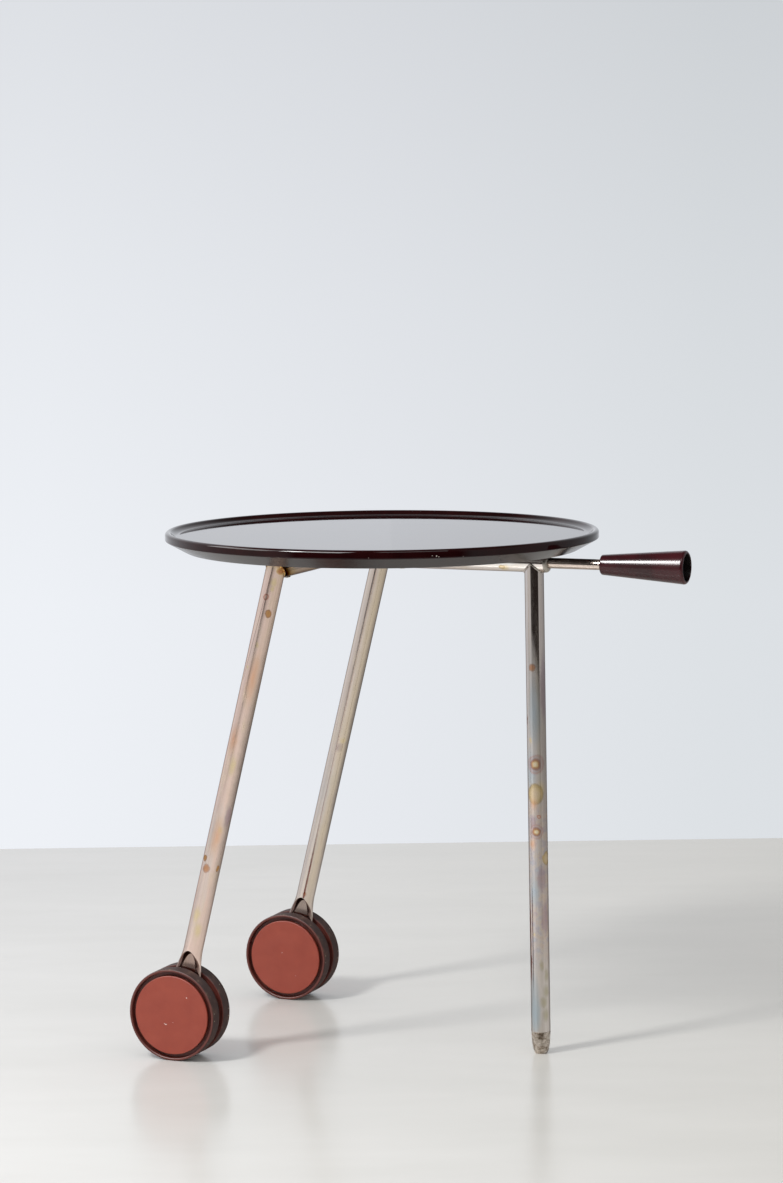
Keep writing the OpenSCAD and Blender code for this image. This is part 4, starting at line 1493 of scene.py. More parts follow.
@dataclass
class RearLeg(SubAssembly):
    """A rear leg: a raked tube, mitred to the cross tube, pressed flat where it carries the axle.

    Heights are measured up the leg from the axle. The pressed faces end in an arch with a sloping shoulder.
    """

    side: int
    rake: float = 13.9
    wall: float = 1.5
    blade_r: float = 16.5
    blade_t: float = 4.0
    bulge_r: float = 4.85
    arch_above: float = 23.0
    arch_slope: float = 4.6
    arch_spread: float = 2.2
    arch_flare: float = 1.0
    spread_l: float = 34.0
    draw_in_l: float = 18.0
    draw_in_below: float = 3.0
    bore_above: float = 8.0
    sleeve_r: float = 7.5
    sleeve_half: float = 5.3
    axle_r: float = 4.0
    shoulder_round: float = 0.9
    press_low: float = -5.9
    press_high: float = 4.0
    halvings: int = 40
    swings: int = 64
    sides: int = 192
    fine_step: float = 0.45

    def __post_init__(self) -> None:
        """Works out the leg's own frame and the axle's."""
        at = self.layout
        self.place = Place(at.axle_x, self.side * at.leg_y, at.wheel_r, (0, self.rake, 0))
        self.across = Place(at.axle_x, self.side * at.leg_y, at.wheel_r, (90, 0, 0))
        self.length = (at.frame_z - at.wheel_r) / math.cos(math.radians(self.rake))
        self.arch_top = at.wheel_r + self.arch_above
        self.press_top = self.arch_top + 1.0
        self.name = "left" if self.side < 0 else "right"

    def top_point(self, x: float, y: float) -> Spot:
        """Point of the mitre's plane above x and y of the leg's own frame, in the table's mm."""
        return self.place.point(x, y, self.length + self.side * y)

    def eased(self, t: np.ndarray) -> np.ndarray:
        """How far a pressed shape has gone at t, eased from 0 to 1."""
        t = np.clip(t, 0, 1)
        return t * t * (3 - 2 * t)

    def pressed(self, x: np.ndarray, s: float) -> np.ndarray:
        """Height of the press tool's surface over the leg's middle plane.

        Args:
            x: distances across the leg in the wheel's plane.
            s: height up the leg.

        Returns:
            Half the thickness that the tool leaves at each x.
        """
        face = self.blade_t / 2
        climb = self.layout.tube_r + 1 - face
        low = np.full_like(x, max(self.press_low, (s - self.arch_top + self.arch_slope) / self.arch_slope))
        high = np.maximum(low, self.press_high)
        for _ in range(self.halvings):
            t = (low + high) / 2
            spread = self.arch_spread + self.arch_flare * t
            room = np.maximum(self.arch_top - self.arch_slope + self.arch_slope * t - s, 0)
            inside = spread ** 2 * room > x ** 2
            high, low = np.where(inside, t, high), np.where(inside, low, t)
        slope = face + climb * high
        return self.blend(slope, np.full_like(x, face), -self.shoulder_round)

    def blend(self, a: np.ndarray, b: np.ndarray, size: float) -> np.ndarray:
        """Smooth lesser of a and b over a size, or their smooth greater where size is negative."""
        share = np.clip(0.5 + 0.5 * (b - a) / size, 0, 1)
        return b * (1 - share) + a * share - size * share * (1 - share)

    def section(self, s: float) -> tuple[np.ndarray, np.ndarray]:
        """Outline of the leg at a height, as its x and y.

        Args:
            s: the height.

        Returns:
            The outline's x and y.
        """
        half_w = self.layout.tube_r + (self.blade_r - self.layout.tube_r) * self.eased(
            np.array((self.press_top - s) / self.spread_l))
        half_t = self.layout.tube_r + (self.bulge_r - self.layout.tube_r) * self.eased(
            np.array((self.press_top - self.draw_in_below - s) / self.draw_in_l))
        x, y = sides_of(1.0, self.sides)
        x, y = x * half_w, y * half_t
        if s < self.press_top + 1:
            y = np.sign(y) * np.maximum(self.blend(np.abs(y), self.pressed(x, s), self.shoulder_round), 0)
        return x, y

    def lower_end(self) -> list[np.ndarray]:
        """Rings of the round end below the axle: the section's half, swung round the axle.

        Returns:
            The rings.
        """
        x, y = self.section(0.0)
        half = [k for k in range(self.sides) if x[k] >= -WELD]
        half.sort(key=lambda k: math.atan2(y[k], x[k]))
        swings = [math.pi * i / self.swings for i in range(self.swings + 1)]
        return [np.stack((x[half] * math.cos(t), y[half], -x[half] * math.sin(t)), axis=1) for t in swings]

    def build(self) -> None:
        """Builds and dresses the leg, its sleeve and its axle."""
        at = self.layout
        fine_top = self.press_top + 6
        steps = math.ceil(fine_top / self.fine_step)
        heights = [fine_top * i / steps for i in range(steps + 1)]
        rings = []
        for s in heights:
            x, y = self.section(s)
            rings.append(np.stack((x, y, np.full_like(x, s)), axis=1))
        x, y = sides_of(at.tube_r, self.sides)
        cut = self.length + self.side * y - SEAT_GAP
        shares = (0.2, 0.4, 0.6, 0.8, 0.999, 1.0)
        rings += [np.stack((x, y, fine_top + (cut - fine_top) * t), axis=1) for t in shares]
        x, y = sides_of(at.tube_r - self.wall, self.sides)
        cut = self.length + self.side * y - SEAT_GAP
        floor = self.arch_top + self.bore_above
        rings += [np.stack((x, y, floor + (cut - floor) * t), axis=1) for t in (1.0, 0.999, 0.5, 0.002, 0.0)]
        rings.append(np.stack((0 * x, 0 * y, np.full_like(x, floor)), axis=1))
        leg = loft("rear_leg_pipe_" + self.name, rings)
        self.join_lower_end(leg)
        hole = Outline.ring(0, self.sleeve_r + SEAT_GAP, -15, 15)
        leg.data.transform(self.place.matrix())
        carve(leg, [self.lathe.turn("hole", hole, self.across)])
        settle(leg, Slot.TUBE, "rear_leg_" + self.name, material=self.finish(), sharp=38)
        self.build_axle()

    def join_lower_end(self, leg: Thing) -> None:
        """Adds the round end below the axle to the leg's mesh, and closes it.

        Args:
            leg: the leg.
        """
        rings = self.lower_end()
        count = len(rings[0])
        faces = [(i * count + k, i * count + k + 1, (i + 1) * count + k + 1, (i + 1) * count + k)
                 for i in range(len(rings) - 1) for k in range(count - 1)]
        end = mesh_object("end", np.concatenate(rings), faces)
        work = bmesh.new()
        work.from_mesh(leg.data)
        work.from_mesh(end.data)
        bmesh.ops.remove_doubles(work, verts=work.verts, dist=20 * WELD)
        bmesh.ops.dissolve_degenerate(work, edges=work.edges, dist=WELD)
        bmesh.ops.recalc_face_normals(work, faces=work.faces)
        work.to_mesh(leg.data)
        work.free()
        bpy.data.objects.remove(end)

    def build_axle(self) -> None:
        """Builds the sleeve through the leg's end and the axle in it."""
        steel = TurnedMetal("turned_axle_steel_" + self.name, self.across, body="#9F9992",
                            dirt="#5E5650").material()
        low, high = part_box("axle_" + self.name)
        half = (high.y - low.y) / 2 / MM
        end = self.sleeve_half
        sleeve = Outline.ring(self.axle_r + SEAT_GAP, self.sleeve_r, -end, end, 0.2, 0.4, 0.2)
        pin = Outline.ring(0, self.axle_r, -half, half, 0, 0.6, 0.2)
        for name, node, outline in (("sleeve_ring_", "axle_sleeve_", sleeve), ("axle_pin_", "axle_", pin)):
            made = self.lathe.turn(name + self.name, outline, self.across, steel)
            settle(made, Slot.STEEL, node + self.name)

    def finish(self) -> Material:
        """Finish of the leg, with painted shade away from the lamps and in the pressed end: the left one pink
        with drips, the right one straw with a long dark seam.

        Returns:
            The material.
        """
        heat = ((Mark.HEAT, self.length, float(self.side), 11.0),)
        press = (self.arch_top, self.blade_t / 2, self.arch_spread + self.arch_flare)
        if self.side < 0:
            # One mark here is painted shade, on the side away from the lamps
            marks = (
                (Mark.FLAME, self.length + 1.0, -32, 5.6, 0.8), (Mark.STRAW, 517, -62, 5.0, 1.4),
                (Mark.STRAW, 509, -63, 3.2, 1.3), (Mark.PAINTED_SHADE, 290, -4, 10.5, 24.0),
                (Mark.OPEN_RING, 498.7, -89, 4.0, 1.0), (Mark.BROWN, 480.4, -56, 4.4, 1.25),
                (Mark.STRAW, 443, -80, 3.0, 1.8), (Mark.GLOW, 405, -64, 8.5, 5.0),
                (Mark.STRAW, 415, -112, 2.0, 1.4), (Mark.STRAW, 300, -70, 5.0, 3.0),
                (Mark.COPPER, 176.4, -97, 5.0, 1.2), (Mark.BROWN, 187, -121, 3.4, 1.2),
                (Mark.STRAW, 119.6, -92, 6.0, 2.2), (Mark.STRAW, 103, -66, 6.0, 1.8),
                (Mark.STRAW, 224, -60, 3.4, 1.8), (Mark.BROWN, 178, -24, 2.4, 2.0),
                (Mark.BROWN, 350, 95, 3.0, 1.2), (Mark.OPEN_RING, 260, 130, 4.0, 1.1),
                (Mark.STRAW, 430, 60, 5.0, 2.0), (Mark.MAUVE, 240, -30, 5.0, 3.0),
                (Mark.GLOW, 330, -100, 8.0, 3.0), (Mark.GLOW, 215, -75, 8.0, 4.0))
            return NickelPlate(
                "nickel_plate_rear_leg_left", self.place, silver="#E9DCD5", film="#F6DCD0", deep="#BE9F95",
                straw="#F3E2C2", stains=tuple(Stain(*m) for m in marks), gloss=(0.12, 0.28), press=press,
                heat=heat, seam=Seam(532, -86, 400, -125, 0.3)).material()
        # One mark here is painted shade, on the side away from the lamps
        marks = ((Mark.STRAW, 280.8, -50, 4.2, 1.3), (Mark.MAUVE, 272, -62, 5.0, 1.4),
                 (Mark.COPPER, 81, -76, 2.6, 1.2), (Mark.STRAW, 400, 120, 5.0, 1.6),
                 (Mark.BROWN, 200, 80, 3.0, 1.2), (Mark.STRAW, 150, 30, 4.0, 2.0),
                 (Mark.STRIPE, 440, -38, 8.0, 14.0), (Mark.STRIPE, 280, -42, 8.0, 15.0),
                 (Mark.STRIPE, 140, -46, 8.0, 12.0), (Mark.PAINTED_SHADE, 290, 8, 9.0, 34.0))
        return NickelPlate(
            "nickel_plate_rear_leg_right", self.place, silver="#E2DAD5", film="#EBDDD3", deep="#AE978E",
            straw="#ECE0C8", stains=tuple(Stain(*m) for m in marks), gloss=(0.12, 0.26), press=press,
            heat=heat, seam=Seam(520, -87, 83, -84, 0.3)).material()


@dataclass
class Handle(SubAssembly):
    """The rod, the conical grip, and the nut and washer that hold it inside its hollow end."""

    rod_r: float = 6.0
    stud_r: float = 4.0
    grip_small_r: float = 11.3
    grip_wide_r: float = 19.3
    grip_edge: float = 2.0
    mouth_edge: float = 3.0
    grip_wall: float = 3.4
    hollow_depth: float = 45.0
    web: float = 12.0
    washer_r: float = 8.5
    sheet_t: float = 1.4
    nut_af: float = 13.0
    nut_h: float = 6.4
    nut_face: float = 0.96
    nut_sides: int = 96
    hollow_from: float = 1.0
    hollow_skin: float = 0.5
    stud_over: float = 3.0
    thread_pitch: float = 1.25
    thread_depth: float = 0.55

    def __post_init__(self) -> None:
        """Works out the grip's axis from its small end, its length, and the height of its hollow's floor."""
        at = self.layout
        self.place = Place(at.grip_x, 0, at.frame_z, (0, 90, 0))
        self.length = at.grip_end - at.grip_x
        self.hollow_z = self.length - self.hollow_depth

    def build(self) -> None:
        """Builds and dresses the handle."""
        self.build_grip()
        self.build_rod()
        steel = TurnedMetal("pressed_steel_nut", self.place, body="#ACA69E", dirt="#6E655C").material()
        bore = self.stud_r + 2 * SEAT_GAP
        washer_z = self.hollow_z + SEAT_GAP
        ring = Outline.ring(bore, self.washer_r, washer_z, washer_z + self.sheet_t, 0.1, 0.3, 0.15)
        washer = self.lathe.turn("washer_ring", ring, self.place, steel)
        settle(washer, Slot.STEEL, "grip_washer")
        nut = self.nut(washer_z + self.sheet_t + SEAT_GAP)
        settle(nut, Slot.STEEL, "grip_nut", material=steel, sharp=28)

    def build_grip(self) -> None:
        """Builds the turned grip, with painted shade in its hollow."""
        place, length, hollow_z = self.place, self.length, self.hollow_z
        slope = (self.grip_wide_r - self.grip_small_r) / length
        mouth = self.grip_wide_r - self.grip_wall
        socket, bore, stud = self.rod_r + SEAT_GAP, hollow_z - self.web, self.stud_r + 2 * SEAT_GAP
        outline = Outline((
            (socket, 0, 0.4), (self.grip_small_r, 0, self.grip_edge),
            (self.grip_wide_r, length, self.mouth_edge), (mouth, length, 0.9),
            (mouth - slope * self.hollow_depth, hollow_z, 1.0), (stud, hollow_z, 0.2), (stud, bore, 0.1),
            (socket, bore, 0.2)), closed=True, step=6.0)
        lacquer = WoodLacquer("lacquered_turned_grip", place, body="#4A141C", depth="#2E0C11", gloss=0.2,
                             sheen=0.42).material()
        grip = self.lathe.turn("grip_cone", outline, place, lacquer, segments=192)
        settle(grip, Slot.GRIP, "handle_grip")
        # Painted shade: the hollow's inside is coloured near black and dull, for the shade inside it
        bare = WoodLacquer("painted_shade_grip_hollow", place, body="#170B0A", depth="#0C0505", gloss=0.45,
                           sheen=0.3).material()

        def hollow(spot: Vector) -> bool:
            """Tells whether a spot lies on the hollow's wall or floor, below the mouth's rounding.

            Args:
                spot: the spot, in mm.

            Returns:
                Whether it does.
            """
            along, radius = spot.x - place.x, math.hypot(spot.y, spot.z - place.z)
            wall = self.grip_wide_r - slope * (length - along) - self.grip_wall
            return (hollow_z - self.hollow_skin < along < length - self.hollow_from
                    and radius < wall + self.hollow_skin)

        dress(grip, bare, hollow)

    def build_rod(self) -> None:
        """Builds the rod with its threaded stud."""
        hollow_z = self.hollow_z
        back, shoulder = self.layout.rod_back - self.place.x, hollow_z - self.web - SEAT_GAP
        tip = hollow_z + self.sheet_t + self.nut_h + self.stud_over
        thread = []
        z = hollow_z - 4 * self.thread_pitch
        while z < tip - 1.5 * self.thread_pitch:
            thread += [(self.stud_r, z, 0), (self.stud_r - self.thread_depth, z + self.thread_pitch / 2, 0)]
            z += self.thread_pitch
        outline = Outline((
            (0, back, 0), (self.rod_r, back, 0.8), (self.rod_r, shoulder, 0.3), (self.stud_r, shoulder, 0.1),
            *thread, (self.stud_r - self.thread_depth, tip, 0.3), (0, tip, 0)), hold=0.2)
        plate = NickelPlate(
            "nickel_plate_handle_rod", self.place, silver="#DED9D4", film="#E0D0C6", deep="#8A6E5C",
            straw="#DFCFB6", tube_r=self.rod_r, gloss=(0.1, 0.24)).material()
        settle(self.lathe.turn("rod_bar", outline, self.place, plate, segments=128), Slot.ROD, "handle_rod")

    def nut(self, low: float) -> Thing:
        """Makes the hexagon nut, with its corners turned off at both faces.

        Args:
            low: distance from the grip's small end to its inner face.

        Returns:
            The nut.
        """
        count, high = self.nut_sides, low + self.nut_h
        turns = np.arange(count) * math.tau / count
        flat = self.nut_af / 2
        radius = flat / np.cos((turns + math.pi / 6) % (math.pi / 3) - math.pi / 6)
        face = np.full(count, self.nut_face * flat)
        fall = (radius - face) * math.tan(math.radians(30))
        bore = np.full(count, self.stud_r + SEAT_GAP)
        rings = [(bore, low + 0 * turns), (face, low + 0 * turns), (radius, low + fall),
                 (radius, high - fall), (face, high + 0 * turns), (bore, high + 0 * turns)]
        skin = [np.stack((r * np.cos(turns), r * np.sin(turns), z), axis=1) for r, z in rings]
        made = loft("hexagon_nut", skin, closed=True)
        made.data.transform(self.place.matrix())
        return made


@dataclass
class WheelPair(SubAssembly):
    """The two discs of one rear leg, with their caps and clips."""

    side: int
    disc_w: float = 17.0
    disc_gap: float = 11.2
    tread_t: float = 3.0
    tread_edge: float = 1.2
    groove_w: float = 4.5
    groove_depth: float = 7.0
    rim_recess: float = 1.2
    rim_flat: float = 3.0
    dish: float = 4.0
    web_t: float = 3.0
    hub_r: float = 10.5
    hub_l: float = 11.0
    bore_r: float = 4.06
    rib_count: int = 8
    rib_t: float = 2.0
    cap_t: float = 2.7
    cap_edge: float = 0.9
    cap_over: float = 0.6
    collar_t: float = 2.6
    skirt_t: float = 1.8
    skirt_l: float = 4.0
    clip_r: float = 7.5
    clip_t: float = 1.4
    axle_r: float = 4.0
    face_gap: float = 0.3
    dirt_over: float = 0.7

    def __post_init__(self) -> None:
        """Works out the radii that follow from the sizes."""
        self.groove_r = self.layout.wheel_r - self.tread_t
        self.cap_r = self.groove_r - self.groove_w
        self.collar_r = self.cap_r - self.cap_over
        self.collar_in = self.collar_r - self.collar_t
        self.name = "left" if self.side < 0 else "right"

    def disc_outline(self) -> Outline:
        """Half outline of a disc, from its inner face to the tread and back into its bore.

        Returns:
            The outline.
        """
        wheel_r, edge = self.layout.wheel_r, self.tread_edge
        groove_floor = self.disc_w - self.groove_depth
        collar_top = self.disc_w - self.cap_t - SEAT_GAP
        web_top = self.dish + self.web_t
        return Outline((
            (self.bore_r, 0, 0.3), (self.hub_r, 0, 0.5), (self.hub_r, self.dish, 1.0),
            (self.collar_in, self.dish, 1.5), (self.groove_r - self.rim_flat, self.rim_recess, 1.0),
            (self.groove_r, self.rim_recess, 0.3), (self.groove_r, 0, edge), (wheel_r, 0, edge),
            (wheel_r, self.disc_w, edge), (self.groove_r, self.disc_w, edge),
            (self.groove_r, groove_floor, 0.8), (self.collar_r, groove_floor, 0.5),
            (self.collar_r, collar_top, 0.3), (self.collar_in, collar_top, 0.3),
            (self.collar_in, web_top, 0.6), (self.hub_r, web_top, 0.8), (self.hub_r, self.hub_l, 0.4),
            (self.bore_r, self.hub_l, 0.3)), closed=True, step=11.0, hold=0.3)

    def cap_outline(self) -> Outline:
        """Half outline of a cap, with the skirt that snaps into the collar.

        Returns:
            The outline.
        """
        under, top = self.disc_w - self.cap_t, self.disc_w
        skirt_r = self.collar_in - SEAT_GAP
        return Outline((
            (0, under, 0), (skirt_r - self.skirt_t, under, 0.4),
            (skirt_r - self.skirt_t, under - self.skirt_l, 0.3), (skirt_r, under - self.skirt_l, 0.3),
            (skirt_r, under, 0.3), (self.cap_r, under, 0.3), (self.cap_r, top, self.cap_edge), (0, top, 0)),
            step=9.0, hold=0.3)

    def ribbed_disc(self, place: Place) -> Thing:
        """Makes a disc with the ribs that stiffen it behind its cap.

        Args:
            place: its axis.

        Returns:
            The disc.
        """
        rib_low = self.dish + self.web_t - 0.5
        rib_high = self.disc_w - self.cap_t - self.skirt_l - self.face_gap
        inner, outer, half = self.hub_r - 0.5, self.collar_in + 0.5, self.rib_t / 2
        rib = block("rib", (inner, -half, rib_low), (outer, half, rib_high))
        ribs = self.scatter.spread("ribs", rib, [(0, 0, 0)] * self.rib_count, None, turn=360 / self.rib_count)
        disc = self.lathe.turn("disc", self.disc_outline(), Place(), segments=176)
        carve(disc, [ribs], "UNION")
        disc.data.transform(place.matrix())
        return disc

    def build(self) -> None:
        """Builds and dresses the discs, caps and clips."""
        at = self.layout
        for facing in (-1, 1):
            where = "outer" if facing == self.side else "inner"
            body = f"disc_{self.name}_{where}"
            y = self.side * at.leg_y + facing * self.disc_gap / 2
            place = Place(at.axle_x, y, at.wheel_r, (-90 * facing, 0, 0))
            disc = self.ribbed_disc(place)
            disc.name = f"wheel_disc_{self.name}_{where}"
            cap = self.lathe.turn(f"cap_face_{self.name}_{where}", self.cap_outline(), place, segments=176)
            for kind, piece, slot, finish in (
                    ("wheel", disc, Slot.DISC, self.disc_finish), ("cap", cap, Slot.CAP, self.cap_finish)):
                settle(piece, slot, f"{kind}_{self.name}_{where}", body=body, sharp=40,
                       material=finish(place, body).material())
        self.build_clips()

    def build_clips(self) -> None:
        """Builds the push-on clips at the axle's ends."""
        at = self.layout
        half = self.clip_t / 2
        out = self.disc_gap / 2 + self.hub_l + self.face_gap + half
        places = [(at.axle_x, self.side * at.leg_y + facing * out, at.wheel_r) for facing in (-1, 1)]
        ring = Outline.ring(self.axle_r + SEAT_GAP, self.clip_r, -half, half, 0.1, 0.3, 0.15)
        one = self.lathe.turn("clip", ring, Place(turn=(90, 0, 0)), segments=64)
        steel = TurnedMetal("pressed_clip_steel_" + self.name, Place(), body="#A9A39B",
                            dirt="#6E665E").material()
        clips = self.scatter.spread("clip_set_" + self.name, one, places, steel)
        settle(clips, Slot.STEEL, "axle_clips_" + self.name)

    def disc_finish(self, place: Place, name: str) -> MouldedPlastic:
        """Finish of a disc: darker than its cap, with dust on its tread."""
        return MouldedPlastic(
            "moulded_abs_" + name, place, body="#6C332A", shade="#5E2B23",
            dirty_from=self.layout.wheel_r - self.dirt_over, roughness=0.34)

    def cap_finish(self, place: Place, name: str) -> MouldedPlastic:
        """Finish of a cap, with more chips on the left outer one.

        Args:
            place: the cap's axis.
            name: the body that it rides on.

        Returns:
            The finish.
        """
        top = self.disc_w
        chips = ((-8.8, -10.2, top, 0.55), (-7.6, -11.2, top, 0.8), (-6.2, -11.0, top, 0.6),
                 (19.8, 21.8, top, 0.7), (2.0, -8.2, top, 0.4))
        chips = chips if name == "disc_left_outer" else ((-4.1, 5.6, top, 0.5), (14.0, -22.0, top, 0.35))
        return MouldedPlastic("moulded_matt_abs_cap_" + name, place, chips=chips)


# studio


@dataclass(frozen=True)
class SoftLamp:
    """A soft lamp: turn from +X and rise in degrees, width and height in m, and power in W.

    Only gloss sees a glint lamp.
    """

    name: str
    turn: float
    rise: float
    size: tuple[float, float]
    power: float
    glint: bool = False


@dataclass
class Studio:
    """Floor, light and camera: a pale floor, a wall behind it, and soft lamps, most of them on the left.

    The camera stands where the photograph was taken, worked out from the tray's outline and the floor.
    """

    layout: Layout
    focal_px: float = 3360.09
    frame_px: tuple[int, int] = (783, 1183)
    distance: float = 3857.2
    height: float = 962.28
    azimuth: float = 22.388
    pan: float = -0.155
    pitch: float = 6.435
    roll: float = -0.466
    wall_left: tuple[float, float] = (-1061.9, 891.6)
    wall_right: tuple[float, float] = (36.2, 1381.6)
    floor_r: float = 3750.0
    slope_l: float = 4500.0
    slope_fall: float = 1200.0
    sensor: float = 36.0
    lamp_aim: float = 0.45
    lamp_reach: float = 2.2
    stroke: tuple[float, float] = (380.0, 140.0)
    # Where the floor's painted shade starts and ends, in mm to the right
    shade_fade: tuple[float, float] = (-500.0, 2300.0)
    lamps: tuple[SoftLamp, ...] = (
        SoftLamp("softbox", -121.6, 40, (0.32, 0.5), 28.0),
        SoftLamp("window", -105, 40, (0.95, 0.95), 44.0, True),
        SoftLamp("side_window", -152, 34, (1.5, 0.9), 30.0, True),
        SoftLamp("skylight", -50, 52, (1.1, 0.6), 6.5, True))

    def __post_init__(self) -> None:
        """Works out the camera's axes."""
        yaw, tilt, lean = (math.radians(a) for a in (self.azimuth + self.pan, self.pitch, self.roll))
        self.yaw = yaw
        ahead = Vector((-math.sin(yaw) * math.cos(tilt), math.cos(yaw) * math.cos(tilt), -math.sin(tilt)))
        right = Vector((math.cos(yaw), math.sin(yaw), 0))
        up = right.cross(ahead)
        self.ahead = ahead
        self.right = right * math.cos(lean) + up * math.sin(lean)
        self.up = up * math.cos(lean) - right * math.sin(lean)

    def build(self) -> None:
        """Builds the studio."""
        self.place_camera()
        self.lay_floor()
        for lamp in self.lamps:
            self.hang_lamp(lamp)
        self.paint_world()
        bpy.context.scene.view_settings.view_transform = "Standard"

    def place_camera(self) -> None:
        """Puts the camera where the photograph was taken."""
        turn = math.radians(self.azimuth)
        spot = Vector((self.layout.tray_x + self.distance * math.sin(turn), -self.distance * math.cos(turn),
                       self.height)) * MM
        lens = bpy.data.cameras.new("camera")
        lens.sensor_width = self.sensor
        lens.lens = self.focal_px / max(self.frame_px) * self.sensor
        camera = bpy.data.objects.new("camera", lens)
        axes = Matrix((self.right, self.up, -self.ahead)).transposed().to_4x4()
        camera.matrix_world = Matrix.Translation(spot) @ axes
        bpy.context.scene.collection.objects.link(camera)
        bpy.context.scene.camera = camera

    def lay_floor(self) -> None:
        """Lays the floor, a disc that the foot of the wall behind the table cuts off.

        A slope falls away beyond that line. The disc hides it from the front, and it is the floor's nearest
        part when the table is seen from behind.
        """
        left, right = np.array(self.wall_left), np.array(self.wall_right)
        along = (right - left) / np.linalg.norm(right - left)
        towards = np.array((along[1], -along[0]))
        past = math.asin(-float(left @ towards) / self.floor_r)
        turns = np.linspace(-past, math.pi + past, 97)
        points = self.floor_r * (np.outer(np.cos(turns), along) + np.outer(np.sin(turns), towards))
        level, slope = [(x, y, 0) for x, y in points], self.slope_l * towards
        fallen = [(*(points[end] - slope), -self.slope_fall) for end in (-1, 0)]
        last = len(points) - 1
        floor = mesh_object("studio_floor", level + fallen,
                            [range(last, -1, -1), (0, last + 2, last + 1, last)])
        floor.data.materials.append(self.concrete())

    def concrete(self) -> Material:
        """Ground and sealed concrete: pale warm grey, cloudy, with a soft sheen that doubles the wheels.

        Returns:
            The material.
        """
        made, tree = new_material("sealed_concrete_floor")
        local = Place(turn=(0, 0, math.degrees(self.yaw))).local(tree)
        # Clouds drawn out along the trowel's strokes, which run across the picture
        strokes = add(tree, "Mapping", {0: local, "Scale": (1 / self.stroke[0], 1 / self.stroke[1], 1)})
        clouds = add(tree, "TexNoise", {"Vector": strokes, "Scale": 1.0, "Detail": 4.0, "Roughness": 0.5})
        ramp = add(tree, "ValToRGB", {"Fac": clouds}, stops=((0.0, "#DBDAD5"), (1.0, "#EBEAE7")))
        # Painted shade: the floor darker and warmer towards the right, away from the lamps
        right = add(tree, "MapRange", {
            "Value": add(tree, "SeparateXYZ", {0: local}).outputs["X"], "From": self.shade_fade})
        shade_fade = add(tree, "ValToRGB", {"Fac": right}, stops=(
            (0.0, "#FFFFFF"), (0.5, "#F3F1EA"), (1.0, "#B4B1AC")))
        colour = add(tree, "Mix", {0: 1.0, UNDER: ramp, OVER: shade_fade}, data_type="RGBA", blend_type="MULTIPLY")
        rough = add(tree, "MapRange", {"Value": clouds, "From": (0.0, 1.0), "To": (0.14, 0.3)})
        return end_material(made, {
            "Base Color": colour, "IOR": 1.45, "Specular IOR Level": 0.2, "Roughness": rough})

    def hang_lamp(self, lamp: SoftLamp) -> None:
        """Hangs a lamp and turns it to the table.

        Args:
            lamp: the lamp.
        """
        turn, rise = math.radians(lamp.turn), math.radians(lamp.rise)
        way = Vector((math.cos(turn) * math.cos(rise), math.sin(turn) * math.cos(rise), math.sin(rise)))
        place = Matrix.Translation(Vector((0, 0, self.lamp_aim)) + way * self.lamp_reach)
        light = bpy.data.lights.new(lamp.name, "AREA")
        light.shape = "RECTANGLE"
        light.size, light.size_y = lamp.size
        light.energy = lamp.power
        hung = bpy.data.objects.new(lamp.name, light)
        hung.matrix_world = place @ way.to_track_quat("Z", "Y").to_matrix().to_4x4()
        hung.visible_diffuse = not lamp.glint
        bpy.context.scene.collection.objects.link(hung)

    def paint_world(self) -> None:
        """Paints the room: a pale wall, unlit space behind the camera for mirrors, and even fill light."""
        world = bpy.data.worlds.new("studio")
        bpy.context.scene.world = world
        world.use_nodes = True
        tree = world.node_tree
        tree.nodes.clear()
        source = add(tree, "TexCoord")
        # X to the right of the photograph, Y into it
        turned = add(tree, "VectorRotate", {"Vector": source.outputs["Generated"], "Angle": -self.yaw},
                     rotation_type="Z_AXIS")
        parts = add(tree, "SeparateXYZ", {0: turned})
        across, into, height = parts.outputs["X"], parts.outputs["Y"], parts.outputs["Z"]
        wall = self.wall_colour(tree, across, height)
        back = add(tree, "Math", {0: into, 1: -1.0}, operation="MULTIPLY")
        bearing = add(tree, "Math", {0: across, 1: back}, operation="ARCTAN2")
        turn = add(tree, "MapRange", {"Value": bearing, "From": (-math.pi, math.pi)})
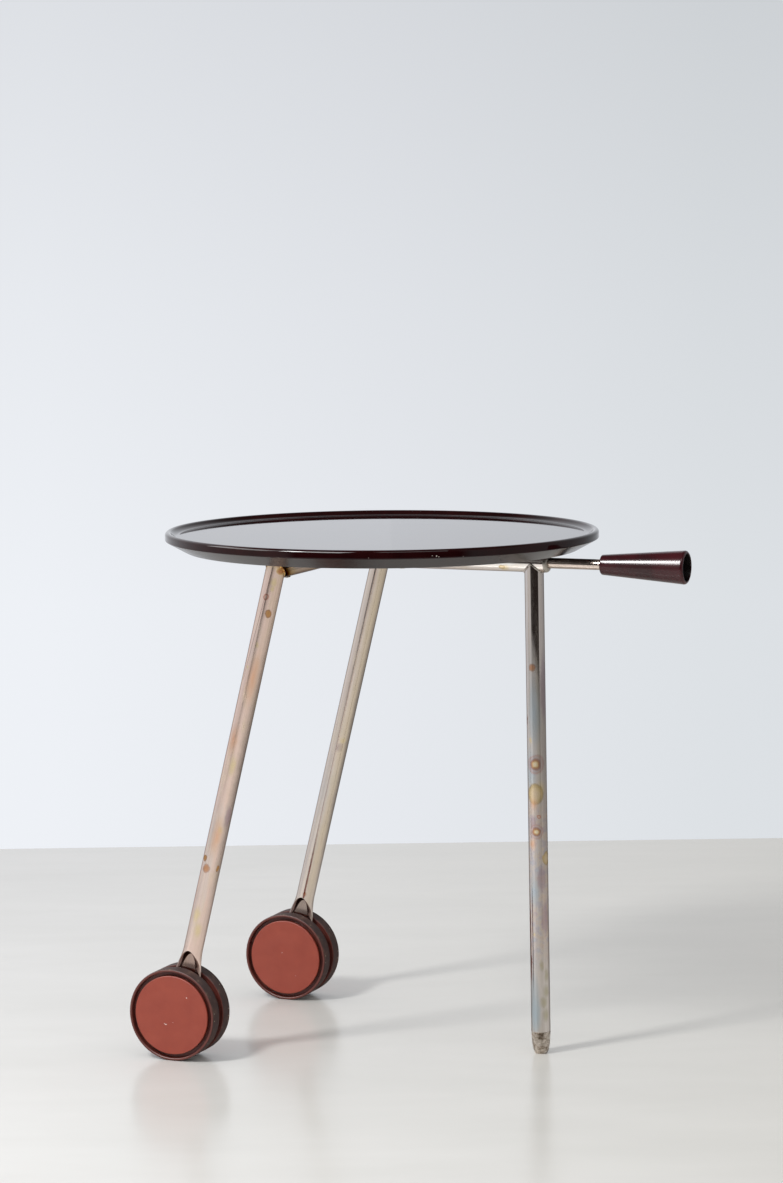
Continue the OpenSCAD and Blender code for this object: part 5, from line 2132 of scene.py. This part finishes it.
        # From behind the table round its left, the camera's side and its right
        round_room = add(tree, "ValToRGB", {"Fac": turn}, stops=(
            (0.0, "#F3F6FC"), (0.14, "#EAEDF2"), (0.25, "#D2D2D4"), (0.357, "#C9C7C6"),
            (0.372, "#2A2422"), (0.615, "#2A2422"), (0.635, "#B9B7B6"), (0.75, "#A5A4A4"),
            (0.87, "#A2A3A6"), (0.94, "#C4C7CC"), (1.0, "#F0F3F9")))
        overhead = add(tree, "MapRange", {"Value": height, "From": (0.5, 0.8)},
                       interpolation_type="SMOOTHSTEP")
        room = add(tree, "Mix", {0: overhead, UNDER: round_room, OVER: "#4A4644"}, data_type="RGBA")
        path = add(tree, "LightPath")
        lit = add(tree, "Mix", {0: path.outputs["Is Diffuse Ray"], UNDER: room, OVER: "#D6D6D8"},
                  data_type="RGBA")
        seen = add(tree, "Mix", {0: path.outputs["Is Camera Ray"], UNDER: lit, OVER: wall}, data_type="RGBA")
        glow = add(tree, "Background", {"Color": seen, "Strength": 1.0})
        add(tree, "OutputWorld", {"Surface": glow})

    def wall_colour(self, tree: Tree, across: Socket, height: Socket) -> Node:
        """Colour of the wall behind the table, brighter on the lamp's side and duller at the top.

        Args:
            tree: the world's tree.
            across: how far to the right.
            height: how far up.

        Returns:
            The node that gives the colour.
        """
        side = add(tree, "MapRange", {"Value": across, "From": (-0.3, 0.3)})
        colour = add(tree, "ValToRGB", {"Fac": side}, stops=(
            (0.0, "#F3F6FA"), (0.33, "#EEF1F6"), (0.5, "#E6E9EE"), (0.66, "#DDE1E5"),
            (1.0, "#D6DADF")))
        rise = add(tree, "MapRange", {"Value": height, "From": (-0.2, 0.2)})
        shade_fade = add(tree, "ValToRGB", {"Fac": rise}, stops=(
            (0.0, "#FFFFFF"), (0.21, "#FFFFFF"), (0.43, "#F8F8F8"), (0.65, "#EEEEEE"),
            (1.0, "#E6E6E6")))
        return add(tree, "Mix", {0: 1.0, UNDER: colour, OVER: shade_fade}, data_type="RGBA", blend_type="MULTIPLY")


def main() -> None:
    """Builds the table round the frame, and the studio round the table."""
    logging.basicConfig(level=logging.INFO, format="%(name)s %(message)s")
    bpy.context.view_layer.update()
    layout = Layout.read()
    shared = (layout, Lathe(), Scatter(), Braze())
    tray = Tray(*shared)
    tray.build()
    PipeFrame(*shared, tray.screw_places(layout.frame_z - layout.tube_r)).build()
    Handle(*shared).build()
    for side in (-1, 1):
        RearLeg(*shared, side).build()
        WheelPair(*shared, side).build()
    Studio(layout).build()


if __name__ == "__main__":
    main()
